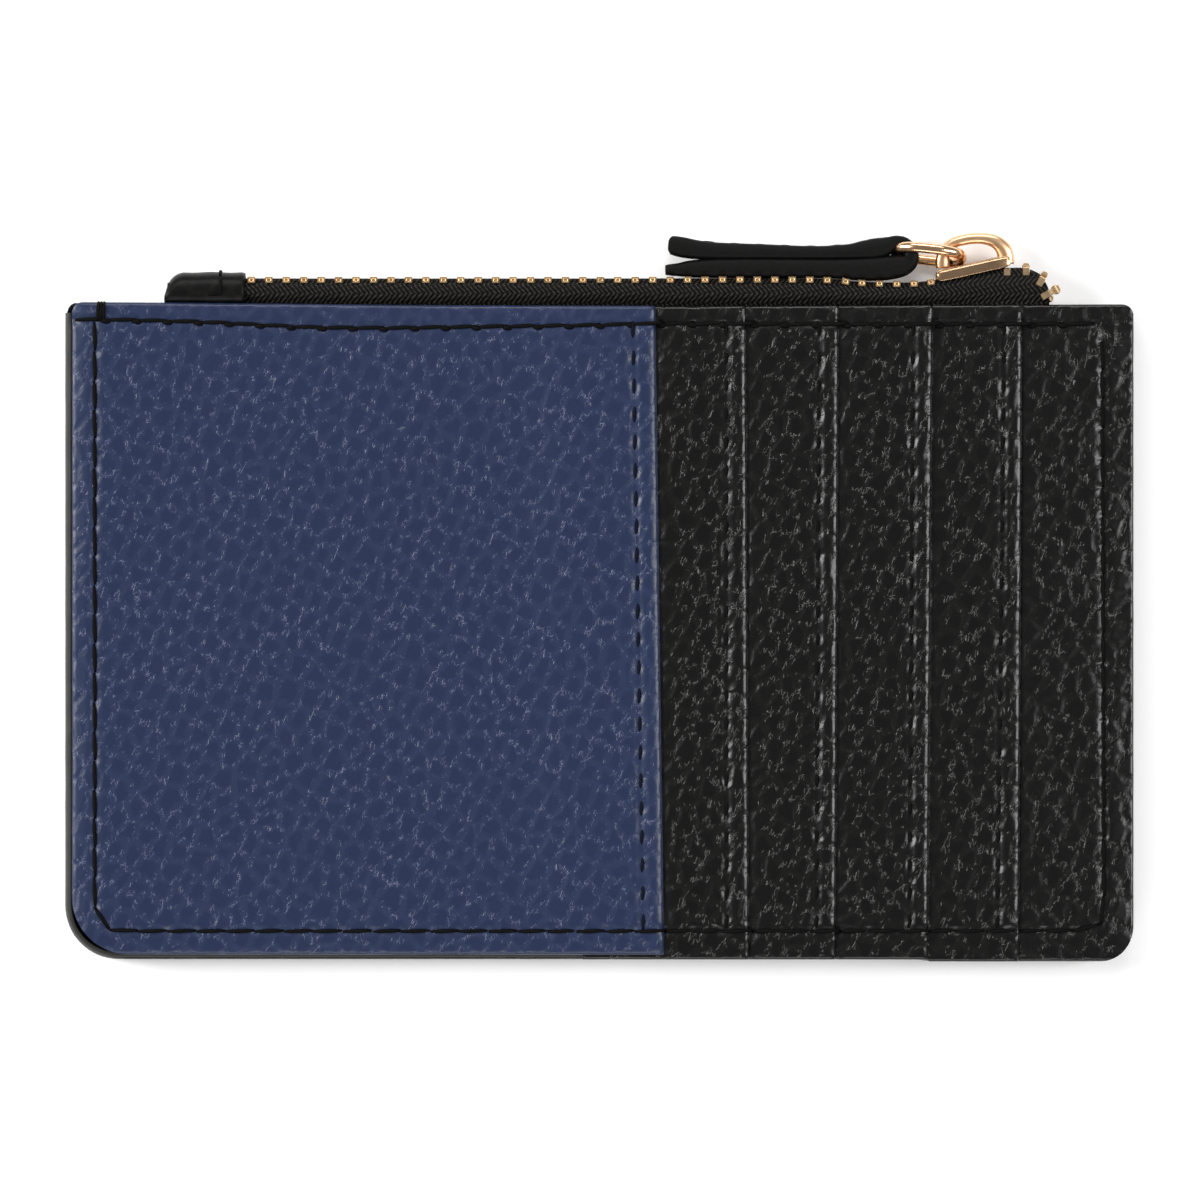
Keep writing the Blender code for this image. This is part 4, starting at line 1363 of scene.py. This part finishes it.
def make_world(tint, strength):
    world = bpy.data.worlds.new("Studio")
    world.use_nodes = True
    background = world.node_tree.nodes["Background"]
    background.inputs["Color"].default_value = (*tint, 1.0)
    background.inputs["Strength"].default_value = strength
    bpy.context.scene.world = world


# ---------------------------------------------------------------- settings


def colour_setting(name, what, default):
    described = f"Colour of the {what}"
    return bpy.props.FloatVectorProperty(name=name, description=described, subtype="COLOR", default=default)


class HOLDER_PG_leather(bpy.types.PropertyGroup):
    grid_step: bpy.props.FloatProperty(
        name="Grid step", description="Spacing of the leather's mesh, in millimetres", default=0.42, min=0.2
    )
    pebble_size: bpy.props.FloatProperty(
        name="Pebble size", description="Width of a pebble of the grain, in millimetres", default=2.3, min=0.3
    )
    blue: colour_setting("Blue", "blue leather", (0.0110, 0.0203, 0.0590))
    blue_crease: colour_setting("Blue creases", "blue leather's creases", (0.0160, 0.0264, 0.0695))
    # Colour of the painted highlights (glints) along the blue leather's wrinkle lines.
    blue_glint: colour_setting("Blue wrinkles", "blue leather's finest wrinkles", (0.072, 0.085, 0.168))
    black: colour_setting("Black", "black leather", (0.0012, 0.0011, 0.0010))
    black_crease: colour_setting("Black creases", "black leather's creases", (0.0035, 0.0033, 0.0030))
    # Colour of the painted highlights (glints) along the black leather's wrinkle lines.
    black_glint: colour_setting("Black wrinkles", "black leather's finest wrinkles", (0.062, 0.061, 0.058))
    paint: colour_setting("Edge paint", "painted edge", (0.0155, 0.0155, 0.0142))


class HOLDER_PG_trim(bpy.types.PropertyGroup):
    thread: colour_setting("Thread", "sewing thread", (0.0030, 0.0026, 0.0024))
    blue_thread: colour_setting("Blue thread", "thread on the blue edge", (0.004, 0.006, 0.016))
    tape: colour_setting("Zip tape", "zip tape", (0.0016, 0.0015, 0.0013))
    gold: colour_setting("Gold", "gold plate", (0.94, 0.61, 0.36))
    teeth_gold: colour_setting("Teeth", "zip's teeth", (0.86, 0.62, 0.37))


class HOLDER_PG_stage(bpy.types.PropertyGroup):
    distance: bpy.props.FloatProperty(
        name="Camera height", description="Height over the floor", default=1.6, subtype="DISTANCE"
    )
    field: bpy.props.FloatProperty(
        name="Field", description="Width of view at the front face, in millimetres", default=145.67
    )
    floor: colour_setting("Floor", "floor", (0.94, 0.94, 0.94))


def leather_settings():
    return bpy.context.scene.holder_leather


def trim_settings():
    return bpy.context.scene.holder_trim


def shared(name, make, *values):
    """A material that several pieces share, made when it is first asked for."""
    return bpy.data.materials.get(name) or make(name, *values)


def black_leather():
    s = leather_settings()
    colours = tuple(s.black), tuple(s.black_crease), tuple(s.black_glint)
    grain = s.pebble_size, 0.20, 0.11, (-0.62, -0.20)
    # EDGE_PLACES: the turned edges past which painted shade damps the glint lines.
    return shared("Black pebbled leather", pebbled_leather, *colours, *grain, 0.45, EDGE_PLACES)


def blue_leather():
    s = leather_settings()
    colours = tuple(s.blue), tuple(s.blue_crease), tuple(s.blue_glint)
    grain = s.pebble_size, 0.27, 0.08, (-0.60, 0.30)
    return pebbled_leather("Blue pebbled leather", *colours, *grain)


def rolled_leather():
    """The end tab's leather, stretched nearly smooth over the zip."""
    s = leather_settings()
    # Weaker painted highlights on its wrinkle lines: 0.3 of the black glint colour.
    colours = tuple(s.black), tuple(s.black_crease), shaded(s.black_glint, 0.3)
    return pebbled_leather("Black rolled leather", *colours, 1.9, 0.36, 0.03, (-0.6, 0.3), 0.16)


def black_thread():
    return shared("Black thread", twisted_thread, tuple(trim_settings().thread))


def polished_gold():
    gold = tuple(trim_settings().gold)
    return shared("Polished gold", gold_metal, gold, 0.13, shaded(gold, 0.9))


def satin_gold():
    gold = tuple(trim_settings().gold)
    return gold_metal("Satin gold", gold, 0.28, shaded(gold, 0.85))


# ---------------------------------------------------------------- operators


class HOLDER_OT_leather(bpy.types.Operator):
    """Build the blue panel, the slot strips, the base and the back"""

    bl_idname = "holder.leather"
    bl_label = "Leather panels"

    def execute(self, context):
        step = leather_settings().grid_step
        black = black_leather()
        make_blue_panel(blue_leather(), step)
        for number in (1, 2, 3, 4):
            make_strip(number, black, step)
        make_base_panel(black, step)
        make_back_panel(black, step * 1.5)
        return {"FINISHED"}


class HOLDER_OT_edge(bpy.types.Operator):
    """Build the painted edge round three sides"""

    bl_idname = "holder.edge"
    bl_label = "Painted edge"

    def execute(self, context):
        make_painted_edge(painted_edge("Edge paint", tuple(leather_settings().paint)))
        return {"FINISHED"}


class HOLDER_OT_stitching(bpy.types.Operator):
    """Sew every seam, stitch by stitch"""

    bl_idname = "holder.stitching"
    bl_label = "Stitching"

    def execute(self, context):
        blue = twisted_thread("Blue thread", tuple(trim_settings().blue_thread))
        make_stitching(black_thread(), blue)
        return {"FINISHED"}


class HOLDER_OT_zip(bpy.types.Operator):
    """Build the zip's tapes, its teeth and the leather tab over its left end"""

    bl_idname = "holder.zip"
    bl_label = "Zip"

    def execute(self, context):
        tape = tuple(trim_settings().tape)
        # The paler twill colour, 34 times the tape's, is the painted highlight on its raised ribs.
        make_tapes(twill_tape("Twill tape", tape, shaded(tape, 34.0)))
        gold = tuple(trim_settings().teeth_gold)
        make_teeth(gold_metal("Brushed gold teeth", gold, 0.24, shaded(gold, 0.75)))
        make_end_tab(rolled_leather(), black_thread())
        return {"FINISHED"}


class HOLDER_OT_slider(bpy.types.Operator):
    """Build the slider with its bridge, and the ring that hangs in it"""

    bl_idname = "holder.slider"
    bl_label = "Slider and ring"

    def execute(self, context):
        # Painted shade: the slider body gets a darker copy of the gold, 0.66 of it.
        shade = shaded(trim_settings().gold, 0.66)
        make_slider(gold_metal("Shaded gold", shade, 0.20, shaded(shade, 0.8)))
        make_crown(satin_gold())
        make_ring(polished_gold())
        return {"FINISHED"}


class HOLDER_OT_strap(bpy.types.Operator):
    """Build the leather strap folded round the ring"""

    bl_idname = "holder.strap"
    bl_label = "Pull strap"

    def execute(self, context):
        black = tuple(leather_settings().black)
        nap = smooth_leather("Black smooth leather", shaded(black, 0.8), shaded(black, 4.0))
        make_strap(nap, black_thread())
        return {"FINISHED"}


class HOLDER_OT_inside(bpy.types.Operator):
    """Give the hidden boards, linings and stop their own finishes"""

    bl_idname = "holder.inside"
    bl_label = "Boards and linings"

    def execute(self, context):
        cloth = lining_weave("Lining weave", tuple(trim_settings().tape))
        board = fibre_board("Grey board", (0.20, 0.19, 0.18))
        finishes = {"lining": cloth, "slot_lining": cloth, "back_board": board, "front_board": board}
        finishes["zip_bottom_stop"] = polished_gold()
        for name, node in frame["nodes"].items():
            for start, material in finishes.items():
                if name.startswith(start):
                    node.data.materials.clear()
                    node.data.materials.append(material)
        return {"FINISHED"}


class HOLDER_OT_stage(bpy.types.Operator):
    """Set up the floor, the lamps, the world and the camera"""

    bl_idname = "holder.stage"
    bl_label = "Stage"

    def execute(self, context):
        s = context.scene.holder_stage
        make_floor(tuple(s.floor))
        make_world((1.0, 1.0, 1.0), 0.20)
        add_lamp("Left softbox", (-1.0, 0.25, 0.70), (0.4, 1.0), 15.0)
        add_lamp("Right softbox", (0.95, 0.05, 1.0), (0.25, 1.0), 8.5)
        add_lamp("Rear softbox", (0.0, 1.0, 0.9), (1.0, 0.35), 7.0)
        add_lamp("Front softbox", (0.0, -1.0, 0.95), (1.0, 0.35), 5.0)
        make_camera(s.distance, s.field)
        context.scene.view_settings.view_transform = "Standard"
        return {"FINISHED"}


OPERATORS = (
    HOLDER_OT_leather, HOLDER_OT_edge, HOLDER_OT_stitching, HOLDER_OT_zip,
    HOLDER_OT_slider, HOLDER_OT_strap, HOLDER_OT_inside, HOLDER_OT_stage,
)


GROUPS = {
    "holder_leather": HOLDER_PG_leather,
    "holder_trim": HOLDER_PG_trim,
    "holder_stage": HOLDER_PG_stage,
}


class HOLDER_PT_panel(bpy.types.Panel):
    """Lists the settings and the steps"""

    bl_idname = "HOLDER_PT_panel"
    bl_label = "Card Holder"
    bl_space_type = "VIEW_3D"
    bl_region_type = "UI"
    bl_category = "Card Holder"

    def draw(self, context):
        for group in GROUPS:
            settings = getattr(context.scene, group)
            for name in settings.__annotations__:
                self.layout.prop(settings, name)
        for operator in OPERATORS:
            self.layout.operator(operator.bl_idname)


CLASSES = (*GROUPS.values(), *OPERATORS, HOLDER_PT_panel)


def register():
    for made in CLASSES:
        bpy.utils.register_class(made)
    for name, group in GROUPS.items():
        setattr(bpy.types.Scene, name, bpy.props.PointerProperty(type=group))


def unregister():
    for name in GROUPS:
        delattr(bpy.types.Scene, name)
    for made in reversed(CLASSES):
        bpy.utils.unregister_class(made)


def main():
    register()
    bpy.ops.holder.leather()
    bpy.ops.holder.edge()
    bpy.ops.holder.stitching()
    bpy.ops.holder.zip()
    bpy.ops.holder.slider()
    bpy.ops.holder.strap()
    bpy.ops.holder.inside()
    bpy.ops.holder.stage()


if __name__ == "__main__":
    main()
